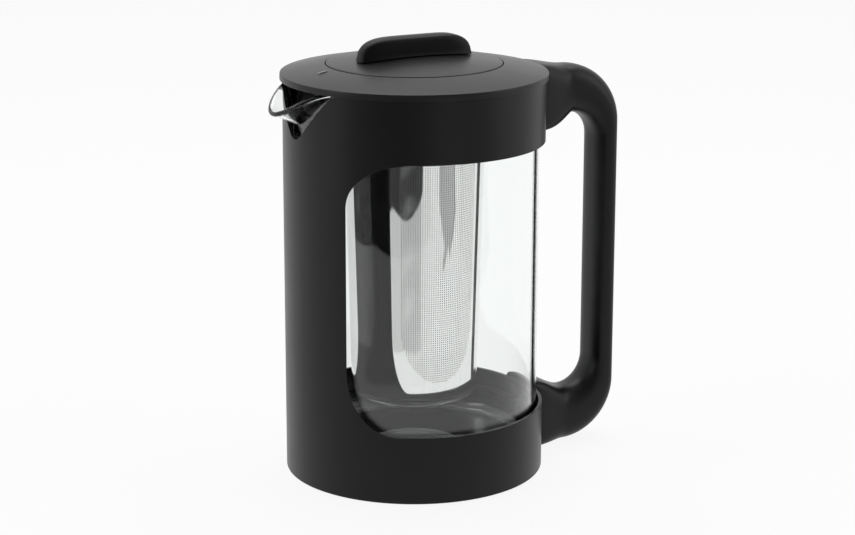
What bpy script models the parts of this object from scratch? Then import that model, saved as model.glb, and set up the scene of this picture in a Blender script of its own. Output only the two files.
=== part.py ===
"""Infuser pitcher: a glass beaker in a moulded casing, with a lid, an inner cap and a hanging infuser.

The jug's axis is Z and it stands on z = 0. The spout points along -X and the handle along +X.
All lengths are in metres.
"""

from math import acos, asin, atan2, cos, degrees, hypot, pi, radians, sin, sqrt, tau

import bmesh
import bpy
from mathutils import Vector

# Fits shared by all pieces
GAP = 0.0003
WELD = 0.000001
NUDGE = 0.0001
CUT_OVERRUN = 0.002
ROUND_STEPS = 48
SMALL_ROUND_STEPS = 40
SCREW_STEPS = 12

# Casing: collar, spine and base ring in one moulding, with a closed floor
CASING_RADIUS = 0.058
CASING_WALL = 0.0016
CASING_TOP = 0.178
CASING_FOOT_RADIUS = 0.0009
CASING_EDGE_ROUNDING = 0.0004
COLLAR_HEIGHT = 0.0276
BASE_RING_TOP = 0.0305
SPINE_HALF_WIDTH = 0.0327
WINDOW_TOP_CORNER_WIDTH = 0.0305
WINDOW_TOP_CORNER_HEIGHT = 0.02
WINDOW_FOOT_CORNER_WIDTH = 0.024
WINDOW_FOOT_CORNER_HEIGHT = 0.027
FLOOR_THICKNESS = 0.0025
FLOOR_CORNER_RADIUS = 0.002
NOTCH_DEPTH = 0.0225
NOTCH_HALF_WIDTH = 0.031
NOTCH_TIP_RADIUS = 0.007
NOTCH_FLARE_RADIUS = 0.012

# Anti-slip pad under the floor, and the cushion that the glass stands on
PAD_RADIUS = 0.044
PAD_THICKNESS = 0.0014
PAD_STANDS_PROUD = 0.0003
CUSHION_RADIUS = 0.0218
CUSHION_THICKNESS = 0.002

# Glass beaker with its spout
GLASS_TO_CASING = 0.0011
GLASS_WALL = 0.002
GLASS_FLOOR = 0.0037
GLASS_OUTER_CORNER_RADIUS = 0.007
GLASS_INNER_CORNER_RADIUS = 0.0055
GLASS_RIM_RISE = 0.0003
SPOUT_REACH = 0.0137
SPOUT_DROOP = 0.0098
SPOUT_DEPTH = 0.0215
SPOUT_HALF_WIDTH = 0.0256
SPOUT_THROAT_POWER = 2.5
SPOUT_DROOP_POWER = 1.6

# Gaskets that hold the glass in the casing
GASKET_HEIGHT = 0.0028
GASKET_ABOVE_COLLAR_EDGE = 0.001
GASKET_BELOW_RING_EDGE = 0.008

# Handle
HANDLE_REACH = 0.1024
HANDLE_WIDTH = 0.0196
HANDLE_ROOT_WIDTH = 0.0245
HANDLE_GRIP_DEPTH = 0.0108
HANDLE_OUTER_CORNER_RADIUS = 0.0262
HANDLE_INNER_CORNER_RADIUS = 0.0139
HANDLE_TOP_ARM_DEPTH = 0.0223
HANDLE_TOP_RISE = 0.0021
HANDLE_BOTTOM_ARM_DEPTH = 0.0256
HANDLE_FOOT_HEIGHT = 0.0003
HANDLE_TOP_ROOT_DROP = 0.0008
HANDLE_TOP_ROOT_POWER = 2.7
HANDLE_BOTTOM_ROOT_RISE = 0.0022
HANDLE_SECTION_POWER = 2.7
HANDLE_ROOT_SECTION_POWER = 7.0
HANDLE_SECTION_STEPS = 20

# Countersunk screws from inside the casing into the handle's roots
HANDLE_SCREW_RADIUS = 0.0015
HANDLE_SCREW_HEAD_RADIUS = 0.003
HANDLE_SCREW_LENGTH = 0.013
HANDLE_SCREW_SINK = 0.0003
HANDLE_SCREW_SPACING = 0.012

# Infuser: perforated tube with a rolled lip, a pressed cup, and the collar that it hangs in
TUBE_TOP_RADIUS = 0.0316
TUBE_BOTTOM_RADIUS = 0.0282
TUBE_WALL = 0.0006
TUBE_STRAIGHT_TOP = 0.0118
INFUSER_TO_GLASS_FLOOR = 0.0239
TUBE_LIP_WIDTH = 0.0034
CUP_CORNER_RADIUS = 0.0042
CUP_LAP = 0.004
COLLAR_RING_WALL = 0.002
COLLAR_RING_NECK = 0.0099
COLLAR_RING_FLANGE = 0.0016
COLLAR_RING_SEAT = 0.0021

# Lid ring: sloping top plate, skirt that plugs the glass, and a hub that carries infuser and cap
LID_OVERHANG = 0.0011
LID_EDGE_THICKNESS = 0.002
LID_EDGE_ROUNDING = 0.0007
LID_RISE = 0.0041
LID_PLATE_THICKNESS = 0.0022
SKIRT_TO_GLASS = 0.0015
SKIRT_WALL = 0.0024
SKIRT_DEPTH = 0.0291
SEAL_HEIGHT = 0.0036
SEAL_ABOVE_SKIRT_EDGE = 0.0018
SEAL_GROOVE_DEPTH = 0.001
SEAL_LIP_SHARE = 0.25
HUB_WALL = 0.002
HUB_LIP_HEIGHT = 0.0076
POUR_OPENING_WIDTH = 0.034
POUR_OPENING_HEIGHT = 0.01
POUR_OPENING_BELOW_PLATE = 0.003
MARK_LENGTH = 0.006
MARK_WIDTH = 0.001
MARK_RISE = 0.0003
MARK_FROM_SEAM = 0.0034

# Inner cap with its seal
CAP_SEAT_WIDTH = 0.0022
CAP_SEAM = 0.0004
CAP_RISE = 0.003
CAP_PLATE_THICKNESS = 0.0022
CAP_RIM_THICKNESS = 0.0024
CAP_EDGE_ROUNDING = 0.0004
CAP_SKIRT_TO_TUBE = 0.0007
CAP_TO_TUBE_LIP = 0.0015
CAP_SKIRT_WALL = 0.0018
CAP_SKIRT_DEPTH = 0.0085
CAP_SEAL_HEIGHT = 0.0022
CAP_SEAL_ABOVE_EDGE = 0.0015
CAP_SEAL_GROOVE_DEPTH = 0.0008

# Grip bar on the cap
GRIP_LENGTH = 0.054
GRIP_THICKNESS = 0.0102
GRIP_HEIGHT = 0.0091
GRIP_DRAFT_SHARE = 0.1
GRIP_END_POWER = 4.5
GRIP_PLAN_POWER = 5.0
GRIP_EDGE_POWER = 9.0
GRIP_SECTION_STEPS = 28
GRIP_SCREW_RADIUS = 0.0012
GRIP_SCREW_HEAD_RADIUS = 0.0026
GRIP_SCREW_HEAD_HEIGHT = 0.0014
GRIP_SCREW_CROWN_SHARE = 0.7
GRIP_SCREW_BITE = 0.0055
GRIP_SCREW_SPACING = 0.028

# Heights and radii that follow from the sizes above
CASING_FOOT_Z = PAD_STANDS_PROUD
FLOOR_UNDERSIDE_Z = PAD_THICKNESS + GAP
FLOOR_TOP_Z = FLOOR_UNDERSIDE_Z + FLOOR_THICKNESS
CUSHION_BOTTOM_Z = FLOOR_TOP_Z + GAP
CUSHION_TOP_Z = CUSHION_BOTTOM_Z + CUSHION_THICKNESS
GLASS_BOTTOM_Z = CUSHION_TOP_Z + GAP
GLASS_FLOOR_Z = GLASS_BOTTOM_Z + GLASS_FLOOR
GLASS_RIM_Z = CASING_TOP + GLASS_RIM_RISE
COLLAR_BOTTOM_Z = CASING_TOP - COLLAR_HEIGHT
CASING_INNER_RADIUS = CASING_RADIUS - CASING_WALL
GLASS_RADIUS = CASING_INNER_RADIUS - GLASS_TO_CASING
GLASS_INNER_RADIUS = GLASS_RADIUS - GLASS_WALL

LID_RADIUS = CASING_RADIUS + LID_OVERHANG
LID_UNDERSIDE_Z = GLASS_RIM_Z + GAP
LID_EDGE_TOP_Z = LID_UNDERSIDE_Z + LID_EDGE_THICKNESS
SEAM_TOP_Z = LID_EDGE_TOP_Z + LID_RISE
SKIRT_RADIUS = GLASS_INNER_RADIUS - SKIRT_TO_GLASS
SKIRT_INNER_RADIUS = SKIRT_RADIUS - SKIRT_WALL
SKIRT_BOTTOM_Z = LID_UNDERSIDE_Z - SKIRT_DEPTH

NECK_INNER_RADIUS = TUBE_TOP_RADIUS + GAP
NECK_RADIUS = NECK_INNER_RADIUS + COLLAR_RING_WALL
HUB_BORE_RADIUS = NECK_RADIUS + GAP
FLANGE_RADIUS = HUB_BORE_RADIUS + COLLAR_RING_SEAT
HUB_WELL_RADIUS = FLANGE_RADIUS + GAP
CAP_RADIUS = HUB_WELL_RADIUS + CAP_SEAT_WIDTH
HUB_MOUTH_RADIUS = CAP_RADIUS + CAP_SEAM

CAP_LEDGE_Z = SEAM_TOP_Z - CAP_RIM_THICKNESS - GAP
TUBE_LIP_TOP_Z = CAP_LEDGE_Z - CAP_TO_TUBE_LIP
TUBE_LIP_BOTTOM_Z = TUBE_LIP_TOP_Z - TUBE_WALL
FLANGE_TOP_Z = TUBE_LIP_BOTTOM_Z - GAP
FLANGE_BOTTOM_Z = FLANGE_TOP_Z - COLLAR_RING_FLANGE
HUB_SEAT_Z = FLANGE_BOTTOM_Z - GAP
HUB_BOTTOM_Z = HUB_SEAT_Z - HUB_LIP_HEIGHT
CUP_BOTTOM_Z = GLASS_FLOOR_Z + INFUSER_TO_GLASS_FLOOR
TUBE_BOTTOM_Z = CUP_BOTTOM_Z + CUP_CORNER_RADIUS + GAP
CAP_SKIRT_BOTTOM_Z = CAP_LEDGE_Z - CAP_SKIRT_DEPTH
CAP_SKIRT_RADIUS = TUBE_TOP_RADIUS - TUBE_WALL - CAP_SKIRT_TO_TUBE
CAP_SKIRT_INNER_RADIUS = CAP_SKIRT_RADIUS - CAP_SKIRT_WALL

# Colours, as linear RGB
BLACK_PLASTIC = ("black_plastic", (0.018, 0.018, 0.019), 0.38, 0.0)
LID_PLASTIC = ("lid_plastic", (0.030, 0.030, 0.031), 0.45, 0.0)
GRIP_PLASTIC = ("grip_plastic", (0.014, 0.014, 0.015), 0.42, 0.0)
CLEAR_GLASS = ("clear_glass", (0.90, 0.93, 0.93), 0.02, 0.0)
POLISHED_STEEL = ("polished_steel", (0.62, 0.61, 0.59), 0.12, 1.0)
SCREW_STEEL = ("screw_steel", (0.45, 0.45, 0.45), 0.35, 1.0)
GREY_SILICONE = ("grey_silicone", (0.34, 0.34, 0.34), 0.6, 0.0)
DARK_SILICONE = ("dark_silicone", (0.03, 0.03, 0.03), 0.7, 0.0)

SHARP_ANGLE = radians(35)


def clear_scene():
    for old in list(bpy.data.objects):
        bpy.data.objects.remove(old, do_unlink=True)


def finish_material(finish):
    """The material of one finish, made the first time that it is asked for."""
    name, colour, roughness, metallic = finish
    known = bpy.data.materials.get(name)
    if known:
        return known
    made = bpy.data.materials.new(name)
    made.use_nodes = True
    shader = made.node_tree.nodes["Principled BSDF"]
    shader.inputs["Base Color"].default_value = (*colour, 1.0)
    shader.inputs["Roughness"].default_value = roughness
    shader.inputs["Metallic"].default_value = metallic
    return made


def add_piece(name, shape, finish, carrier=None):
    """Turns a bmesh into one named object, smooth on its round faces."""
    mesh = bpy.data.meshes.new(name)
    bmesh.ops.recalc_face_normals(shape, faces=shape.faces)
    shape.to_mesh(mesh)
    shape.free()
    mesh.shade_smooth()
    mesh.set_sharp_from_angle(angle=SHARP_ANGLE)
    mesh.materials.append(finish_material(finish))
    piece = bpy.data.objects.new(name, mesh)
    bpy.context.scene.collection.objects.link(piece)
    if carrier:
        piece.parent = carrier
        piece.matrix_parent_inverse = carrier.matrix_world.inverted()
    return piece


def add_carrier(name, height, carrier=None):
    """An empty on the jug's axis, which a moving group of pieces hangs on."""
    empty = bpy.data.objects.new(name, None)
    empty.empty_display_size = TUBE_TOP_RADIUS
    bpy.context.scene.collection.objects.link(empty)
    empty.location = (0, 0, height)
    bpy.context.view_layer.update()
    if carrier:
        empty.parent = carrier
        empty.matrix_parent_inverse = carrier.matrix_world.inverted()
        bpy.context.view_layer.update()
    return empty


def cut(piece, cutter, operation="DIFFERENCE"):
    """Adds a Boolean, and hides the cutter from render."""
    cutter.hide_render = True
    cutter.display_type = "WIRE"
    modifier = piece.modifiers.new(cutter.name, "BOOLEAN")
    modifier.operation = operation
    modifier.solver = "EXACT"
    modifier.object = cutter


def turned(outline, steps=ROUND_STEPS, closed=True):
    """Spins an (r, z) outline about Z. An outline that isn't closed begins and ends on the axis."""
    shape = bmesh.new()
    points = [shape.verts.new((r, 0, z)) for r, z in outline]
    following = points[1:] + points[:1] if closed else points[1:]
    edges = [shape.edges.new(pair) for pair in zip(points, following)]
    bmesh.ops.spin(
        shape, geom=points + edges, cent=(0, 0, 0), axis=(0, 0, 1), angle=tau, steps=steps, use_merge=True
    )
    bmesh.ops.remove_doubles(shape, verts=shape.verts, dist=WELD)
    return shape


def around(outline, turn):
    """Points of an (r, z) outline at one angle about Z."""
    return [Vector((r * cos(turn), r * sin(turn), z)) for r, z in outline]


def arc(centre, radius, start, end, steps):
    """Points of a round corner, with angles in degrees."""
    turns = [radians(start + (end - start) * step / steps) for step in range(steps + 1)]
    return [(centre[0] + radius * cos(turn), centre[1] + radius * sin(turn)) for turn in turns]


def skin(shape, rings, capped=True):
    """Joins rings of points with the same count into a tube, with flat ends."""
    loops = [[shape.verts.new(point) for point in ring] for ring in rings]
    for lower, upper in zip(loops, loops[1:]):
        for here in range(len(lower)):
            after = (here + 1) % len(lower)
            shape.faces.new((lower[here], lower[after], upper[after], upper[here]))
    if capped:
        shape.faces.new(loops[0])
        shape.faces.new(loops[-1])
    return loops


def smoothstep(share):
    held = min(max(share, 0.0), 1.0)
    return held * held * (3 - 2 * held)


def superellipse(turn, power):
    """A point of the unit curve |a|^power + |b|^power = 1."""
    across = abs(cos(turn)) ** (2 / power) * (1 if cos(turn) >= 0 else -1)
    along = abs(sin(turn)) ** (2 / power) * (1 if sin(turn) >= 0 else -1)
    return across, along


def notch_outline():
    """Half of the spout notch: (distance along the casing, height), from its tip to its top corner."""
    tip = Vector((0, NOTCH_TIP_RADIUS))
    flare = Vector((NOTCH_HALF_WIDTH, NOTCH_DEPTH - NOTCH_FLARE_RADIUS))
    between = flare - tip
    reach = asin((NOTCH_TIP_RADIUS + NOTCH_FLARE_RADIUS) / between.length)
    slope = degrees(atan2(between.y, between.x) + reach)
    tip_arc = arc(tip, NOTCH_TIP_RADIUS, -90, slope - 90, steps=3)
    flare_arc = arc(flare, NOTCH_FLARE_RADIUS, slope + 90, 90, steps=3)
    middle_shares = (0.33, 0.67)
    start, end = Vector(tip_arc[-1]), Vector(flare_arc[0])
    flank = [tuple(start.lerp(end, share)) for share in middle_shares]
    return tip_arc + flank + flare_arc


def window_edges(along):
    """Heights of the window's lower and upper edge, at a distance along the outside from the spout."""

    def corner(width, height):
        left_share = 1 - min((along - SPINE_HALF_WIDTH) / width, 1.0)
        return height * (1 - sqrt(1 - left_share**2))

    foot_rise = corner(WINDOW_FOOT_CORNER_WIDTH, WINDOW_FOOT_CORNER_HEIGHT)
    top_drop = corner(WINDOW_TOP_CORNER_WIDTH, WINDOW_TOP_CORNER_HEIGHT)
    return BASE_RING_TOP + foot_rise, COLLAR_BOTTOM_Z - top_drop


def window_pull(turn):
    """The angle on the casing's inside that faces an angle on its outside, both from the spout.

    The window's moulds are pulled out sideways, so its upright side faces run straight along Y.
    """
    edge = SPINE_HALF_WIDTH / CASING_RADIUS
    inner_edge = acos(CASING_RADIUS * cos(edge) / CASING_INNER_RADIUS)
    if turn >= pi / 2:
        return turn
    if turn > edge:
        return acos(CASING_RADIUS * cos(turn) / CASING_INNER_RADIUS)
    return turn * inner_edge / edge


def casing_columns():
    """Half of the casing's upright lines, from the spout to the handle.

    Each is (distance along the outside, window bottom, window top, casing top, whether it is open).
    """
    spine_low, spine_high = window_edges(SPINE_HALF_WIDTH)
    notch_tip = CASING_TOP - NOTCH_DEPTH
    columns = [
        (along, spine_low, spine_high, notch_tip + height, False) for along, height in notch_outline()
    ]
    corner_steps = 8
    corner_end = SPINE_HALF_WIDTH + WINDOW_TOP_CORNER_WIDTH
    rest_steps = 17
    turns = [radians(90 * step / corner_steps) for step in range(corner_steps + 1)]
    alongs = [SPINE_HALF_WIDTH + WINDOW_TOP_CORNER_WIDTH * (1 - cos(turn)) for turn in turns]
    rest = pi * CASING_RADIUS - corner_end
    alongs += [corner_end + rest * step / rest_steps for step in range(1, rest_steps + 1)]
    return columns + [(along, *window_edges(along), CASING_TOP, True) for along in alongs]


def casing_shape():
    """The casing's mesh, column by column round the jug."""
    half = casing_columns()
    columns = [(-along, low, high, top, window) for along, low, high, top, window in half[-2:0:-1]] + half
    foot_inner = CASING_RADIUS - CASING_FOOT_RADIUS
    foot_middle = CASING_RADIUS - CASING_FOOT_RADIUS * (1 - sin(pi / 4))
    foot_middle_z = CASING_FOOT_Z + CASING_FOOT_RADIUS * (1 - sin(pi / 4))
    under_floor = [
        (CASING_RADIUS, CASING_FOOT_Z + CASING_FOOT_RADIUS),
        (foot_middle, foot_middle_z),
        (foot_inner, CASING_FOOT_Z),
        (PAD_RADIUS + GAP, CASING_FOOT_Z),
        (PAD_RADIUS + GAP, FLOOR_UNDERSIDE_Z),
    ]
    over_floor = [
        (CASING_INNER_RADIUS - FLOOR_CORNER_RADIUS, FLOOR_TOP_Z),
        (CASING_INNER_RADIUS, FLOOR_TOP_Z + FLOOR_CORNER_RADIUS),
    ]
    shape = bmesh.new()
    rounded = shape.edges.layers.float.new("bevel_weight_edge")
    lines = []
    for along, low, high, top, window in columns:
        turn = pi - along / CASING_RADIUS
        mirror = 1 if along >= 0 else -1
        pulled = pi - mirror * window_pull(abs(along) / CASING_RADIUS)
        inner_edges = around([(CASING_INNER_RADIUS, z) for z in (low, high)], pulled)
        chains = {
            "bottom": around(under_floor, turn),
            "outer": around([(CASING_RADIUS, z) for z in (low, high, top)], turn),
            "inner": inner_edges + around([(CASING_INNER_RADIUS, top)], turn),
            "floor": around(over_floor, turn),
        }
        line = {part: [shape.verts.new(point) for point in chain] for part, chain in chains.items()}
        line["window"] = window
        lines.append(line)
    under_centre = shape.verts.new((0, 0, FLOOR_UNDERSIDE_Z))
    over_centre = shape.verts.new((0, 0, FLOOR_TOP_Z))

    def join(chain_here, chain_next):
        for pair_here, pair_next in zip(zip(chain_here, chain_here[1:]), zip(chain_next, chain_next[1:])):
            shape.faces.new((*pair_here, *reversed(pair_next)))

    def round_off(*pairs):
        for pair in pairs:
            shape.edges.get(pair)[rounded] = 1.0

    for index, here in enumerate(lines):
        after = lines[(index + 1) % len(lines)]
        (low_out, high_out, top_out), (low_in, high_in, top_in) = here["outer"], here["inner"]
        (low_out2, high_out2, top_out2), (low_in2, high_in2, top_in2) = after["outer"], after["inner"]
        join([low_out] + here["bottom"], [low_out2] + after["bottom"])
        join(here["floor"] + [low_in], after["floor"] + [low_in2])
        shape.faces.new((here["bottom"][-1], after["bottom"][-1], under_centre))
        shape.faces.new((here["floor"][0], after["floor"][0], over_centre))
        join([high_out, top_out], [high_out2, top_out2])
        join([high_in, top_in], [high_in2, top_in2])
        join([top_out, top_in], [top_out2, top_in2])
        round_off((top_out, top_out2), (top_in, top_in2))
        if here["window"] and after["window"]:
            join([low_out, low_in], [low_out2, low_in2])
            join([high_out, high_in], [high_out2, high_in2])
            round_off((low_out, low_out2), (low_in, low_in2), (high_out, high_out2), (high_in, high_in2))
        else:
            join([low_out, high_out], [low_out2, high_out2])
            join([low_in, high_in], [low_in2, high_in2])
        if here["window"] != after["window"]:
            side = here if here["window"] else after
            (low_o, high_o, _), (low_i, high_i, _) = side["outer"], side["inner"]
            shape.faces.new((low_o, high_o, high_i, low_i))
            round_off((low_o, high_o), (low_i, high_i))
    return shape


def add_bevel(piece, width):
    """Rounds the edges that the mesh marks for it."""
    modifier = piece.modifiers.new("edge_rounding", "BEVEL")
    modifier.limit_method = "WEIGHT"
    modifier.width = width
    modifier.segments = 1
    modifier.use_clamp_overlap = True


def spout_rim(along):
    """(bulge, droop, where the trough begins) of the rim at a distance along the glass from the spout."""
    share = min(abs(along) / SPOUT_HALF_WIDTH, 1.0)
    bell = 0.5 + 0.5 * cos(pi * share)
    trough_start = GLASS_RIM_Z - SPOUT_DEPTH * (1 - share)
    return SPOUT_REACH * bell, SPOUT_DROOP * bell**SPOUT_DROOP_POWER, trough_start


def glass_wall_point(along, share):
    """A point midway through the glass wall: share runs from below the trough's foot to the rim."""
    bulge, droop, trough_start = spout_rim(along)
    rim = GLASS_RIM_Z - GLASS_WALL / 2 - droop
    foot = GLASS_RIM_Z - SPOUT_DEPTH - GLASS_WALL
    height = foot + (rim - foot) * share
    climb = max(height - trough_start, 0.0) / max(rim - trough_start, GLASS_WALL)
    radius = GLASS_RADIUS - GLASS_WALL / 2 + bulge * min(climb, 1.0) ** SPOUT_THROAT_POWER
    turn = pi - along / GLASS_RADIUS
    return Vector((radius * cos(turn), radius * sin(turn), height))


def glass_normal(along, share):
    """The outward direction of the glass wall, from points close by."""
    nudge_share = 0.01
    side = glass_wall_point(along + NUDGE, share) - glass_wall_point(along - NUDGE, share)
    up = glass_wall_point(along, min(share + nudge_share, 1.0)) - glass_wall_point(along, share - nudge_share)
    return up.cross(side).normalized()


def glass_shape():
    """The beaker's mesh: round floor and wall, and a trough pressed out to the spout's lip."""
    wall_steps = 8
    spout_columns = 10
    plain_columns = 20
    half = [SPOUT_HALF_WIDTH * step / spout_columns for step in range(spout_columns + 1)]
    rest = pi * GLASS_RADIUS - SPOUT_HALF_WIDTH
    half += [SPOUT_HALF_WIDTH + rest * step / plain_columns for step in range(1, plain_columns + 1)]
    alongs = [-along for along in half[-2:0:-1]] + half
    outer_floor = arc(
        (GLASS_RADIUS - GLASS_OUTER_CORNER_RADIUS, GLASS_BOTTOM_Z + GLASS_OUTER_CORNER_RADIUS),
        GLASS_OUTER_CORNER_RADIUS, -90, 0, steps=4,
    )
    inner_floor = arc(
        (GLASS_INNER_RADIUS - GLASS_INNER_CORNER_RADIUS, GLASS_FLOOR_Z + GLASS_INNER_CORNER_RADIUS),
        GLASS_INNER_CORNER_RADIUS, 0, -90, steps=4,
    )
    lip_turns = (45, 90, 135)
    shape = bmesh.new()
    lines = []
    for along in alongs:
        turn = pi - along / GLASS_RADIUS
        shares = [step / wall_steps for step in range(wall_steps + 1)]
        middle = [glass_wall_point(along, share) for share in shares]
        normals = [glass_normal(along, share) for share in shares]
        outer = [point + normal * GLASS_WALL / 2 for point, normal in zip(middle, normals)]
        inner = [point - normal * GLASS_WALL / 2 for point, normal in zip(middle, normals)]
        climb = (middle[-1] - middle[-2]).normalized()
        lip = [
            middle[-1] + (normals[-1] * cos(radians(turn)) + climb * sin(radians(turn))) * GLASS_WALL / 2
            for turn in lip_turns
        ]
        chain = around(outer_floor, turn) + outer + lip + inner[::-1] + around(inner_floor, turn)
        lines.append([shape.verts.new(point) for point in chain])
    under_centre = shape.verts.new((0, 0, GLASS_BOTTOM_Z))
    over_centre = shape.verts.new((0, 0, GLASS_FLOOR_Z))
    for index, here in enumerate(lines):
        after = lines[(index + 1) % len(lines)]
        for low, high, low2, high2 in zip(here, here[1:], after, after[1:]):
            shape.faces.new((low, high, high2, low2))
        shape.faces.new((here[0], after[0], under_centre))
        shape.faces.new((here[-1], after[-1], over_centre))
    return shape


def handle_rings():
    """Cross-sections of the handle, from its top root round the grip to its bottom root."""
    top_z = GLASS_RIM_Z
    bottom_z = HANDLE_FOOT_HEIGHT
    grip_inner = HANDLE_REACH - HANDLE_GRIP_DEPTH
    outer_x = HANDLE_REACH - HANDLE_OUTER_CORNER_RADIUS
    inner_x = grip_inner - HANDLE_INNER_CORNER_RADIUS
    arm_under_z = top_z - HANDLE_TOP_ARM_DEPTH
    arm_over_z = bottom_z + HANDLE_BOTTOM_ARM_DEPTH
    root_x = CASING_INNER_RADIUS
    arm_steps = 8

    def arm(outer_z, rise, root_z, inner_z, swell):
        pairs = []
        for step in range(arm_steps):
            share = step / arm_steps
            x_out = root_x + (outer_x - root_x) * share
            x_in = root_x + (inner_x - root_x) * share
            rise_share = 1 - smoothstep((x_out - CASING_RADIUS) / (outer_x - CASING_RADIUS))
            reach_share = max((x_in - CASING_RADIUS) / (inner_x - CASING_RADIUS), 0.0)
            outer = (x_out, outer_z + rise * rise_share)
            pairs.append((outer, (x_in, root_z + (inner_z - root_z) * swell(reach_share))))
        return pairs

    top_outer = arc((outer_x, top_z - HANDLE_OUTER_CORNER_RADIUS), HANDLE_OUTER_CORNER_RADIUS, 90, 0, steps=8)
    top_inner = arc((inner_x, arm_under_z - HANDLE_INNER_CORNER_RADIUS), HANDLE_INNER_CORNER_RADIUS, 90, 0, steps=8)
    low_outer = arc((outer_x, bottom_z + HANDLE_OUTER_CORNER_RADIUS), HANDLE_OUTER_CORNER_RADIUS, 0, -90, steps=8)
    low_inner = arc((inner_x, arm_over_z + HANDLE_INNER_CORNER_RADIUS), HANDLE_INNER_CORNER_RADIUS, 0, -90, steps=8)
    top_root_z = COLLAR_BOTTOM_Z - HANDLE_TOP_ROOT_DROP
    bottom_root_z = BASE_RING_TOP + HANDLE_BOTTOM_ROOT_RISE
    top_arm = arm(top_z, HANDLE_TOP_RISE, top_root_z, arm_under_z, lambda share: share**HANDLE_TOP_ROOT_POWER)
    bottom_arm = arm(bottom_z, 0, bottom_root_z, arm_over_z, smoothstep)
    pairs = top_arm + list(zip(top_outer, top_inner)) + list(zip(low_outer, low_inner)) + bottom_arm[::-1]
    rings = []
    for outer, inner in pairs:
        outer, inner = Vector(outer), Vector(inner)
        middle = (outer + inner) / 2
        deep = (outer - inner) / 2
        root_share = 1 - smoothstep((inner.x - CASING_RADIUS) / (inner_x - CASING_RADIUS))
        power = HANDLE_SECTION_POWER + (HANDLE_ROOT_SECTION_POWER - HANDLE_SECTION_POWER) * root_share
        width = HANDLE_WIDTH + (HANDLE_ROOT_WIDTH - HANDLE_WIDTH) * root_share
        ring = []
        for step in range(HANDLE_SECTION_STEPS):
            across, along = superellipse(tau * step / HANDLE_SECTION_STEPS, power)
            point = middle + deep * across
            ring.append((point.x, along * width / 2, point.y))
        rings.append(ring)
    return rings


def handle_screw_outline(clearance):
    """(r, x) of a countersunk screw that points along +X, or of its hole when clearance is given."""
    head_x = CASING_INNER_RADIUS + HANDLE_SCREW_SINK
    shank_x = head_x + HANDLE_SCREW_HEAD_RADIUS - HANDLE_SCREW_RADIUS
    tip_x = head_x + HANDLE_SCREW_LENGTH
    back_x = head_x - clearance - (CUT_OVERRUN if clearance else 0)
    return [
        (0, back_x),
        (HANDLE_SCREW_HEAD_RADIUS + clearance, back_x),
        (HANDLE_SCREW_HEAD_RADIUS + clearance, head_x),
        (HANDLE_SCREW_RADIUS + clearance, shank_x),
        (HANDLE_SCREW_RADIUS + clearance, tip_x - HANDLE_SCREW_RADIUS),
        (0, tip_x + clearance),
    ]


def pointing_along_x(outline, height):
    """Turns an outline whose second value runs along X, and lifts it to a height."""
    tidy = [point for index, point in enumerate(outline) if index == 0 or point != outline[index - 1]]
    shape = turned(tidy, steps=SCREW_STEPS, closed=False)
    for vert in shape.verts:
        vert.co = Vector((vert.co.z, vert.co.y, height - vert.co.x))
    return shape


def add_handle(casing):
    """The handle, cut clear of the casing and of the lid's edge, with the four screws that hold it."""
    shape = bmesh.new()
    skin(shape, handle_rings())
    handle = add_piece("handle", shape, BLACK_PLASTIC)
    cutter_outline = [
        (0, -CUT_OVERRUN),
        (CASING_RADIUS + GAP, -CUT_OVERRUN),
        (CASING_RADIUS + GAP, LID_UNDERSIDE_Z - GAP),
        (LID_RADIUS + GAP, LID_UNDERSIDE_Z - GAP),
        (LID_RADIUS + GAP, LID_EDGE_TOP_Z + CUT_OVERRUN),
        (0, LID_EDGE_TOP_Z + CUT_OVERRUN),
    ]
    cut(handle, add_piece("handle_root_cutter", turned(cutter_outline, steps=128, closed=False), BLACK_PLASTIC))
    collar_middle = (CASING_TOP + COLLAR_BOTTOM_Z) / 2
    ring_middle = (HANDLE_FOOT_HEIGHT + BASE_RING_TOP) / 2
    for index, (middle, side) in enumerate(
        ((collar_middle, 1), (collar_middle, -1), (ring_middle, 1), (ring_middle, -1)), start=1
    ):
        height = middle + side * HANDLE_SCREW_SPACING / 2
        screw_shape = pointing_along_x(handle_screw_outline(0), height)
        add_piece(f"handle_screw_{index}", screw_shape, SCREW_STEEL)
        hole_shape = pointing_along_x(handle_screw_outline(GAP), height)
        hole = add_piece(f"handle_screw_hole_{index}", hole_shape, SCREW_STEEL)
        cut(handle, hole)
        cut(casing, hole)


def add_base():
    """Anti-slip pad, cushion and the two gaskets round the glass."""
    pad = [
        (0, 0),
        (PAD_RADIUS, 0),
        (PAD_RADIUS, PAD_THICKNESS),
        (0, PAD_THICKNESS),
    ]
    add_piece("base_pad", turned(pad, closed=False), DARK_SILICONE)
    cushion = [
        (0, CUSHION_BOTTOM_Z),
        (CUSHION_RADIUS, CUSHION_BOTTOM_Z),
        (CUSHION_RADIUS, CUSHION_TOP_Z),
        (0, CUSHION_TOP_Z),
    ]
    add_piece("glass_cushion", turned(cushion, steps=SMALL_ROUND_STEPS, closed=False), GREY_SILICONE)
    collar_gasket_z = COLLAR_BOTTOM_Z + GASKET_ABOVE_COLLAR_EDGE
    base_gasket_z = BASE_RING_TOP - GASKET_BELOW_RING_EDGE - GASKET_HEIGHT
    for name, bottom in (("collar_gasket", collar_gasket_z), ("base_gasket", base_gasket_z)):
        inner, outer = GLASS_RADIUS + GAP, CASING_INNER_RADIUS - GAP
        band = [(inner, bottom), (outer, bottom), (outer, bottom + GASKET_HEIGHT), (inner, bottom + GASKET_HEIGHT)]
        add_piece(name, turned(band), DARK_SILICONE)


def lid_top_z(radius):
    """Height of the sloping lid ring's top at a radius."""
    share = (LID_RADIUS - radius) / (LID_RADIUS - HUB_MOUTH_RADIUS)
    return LID_EDGE_TOP_Z + LID_RISE * share


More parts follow.
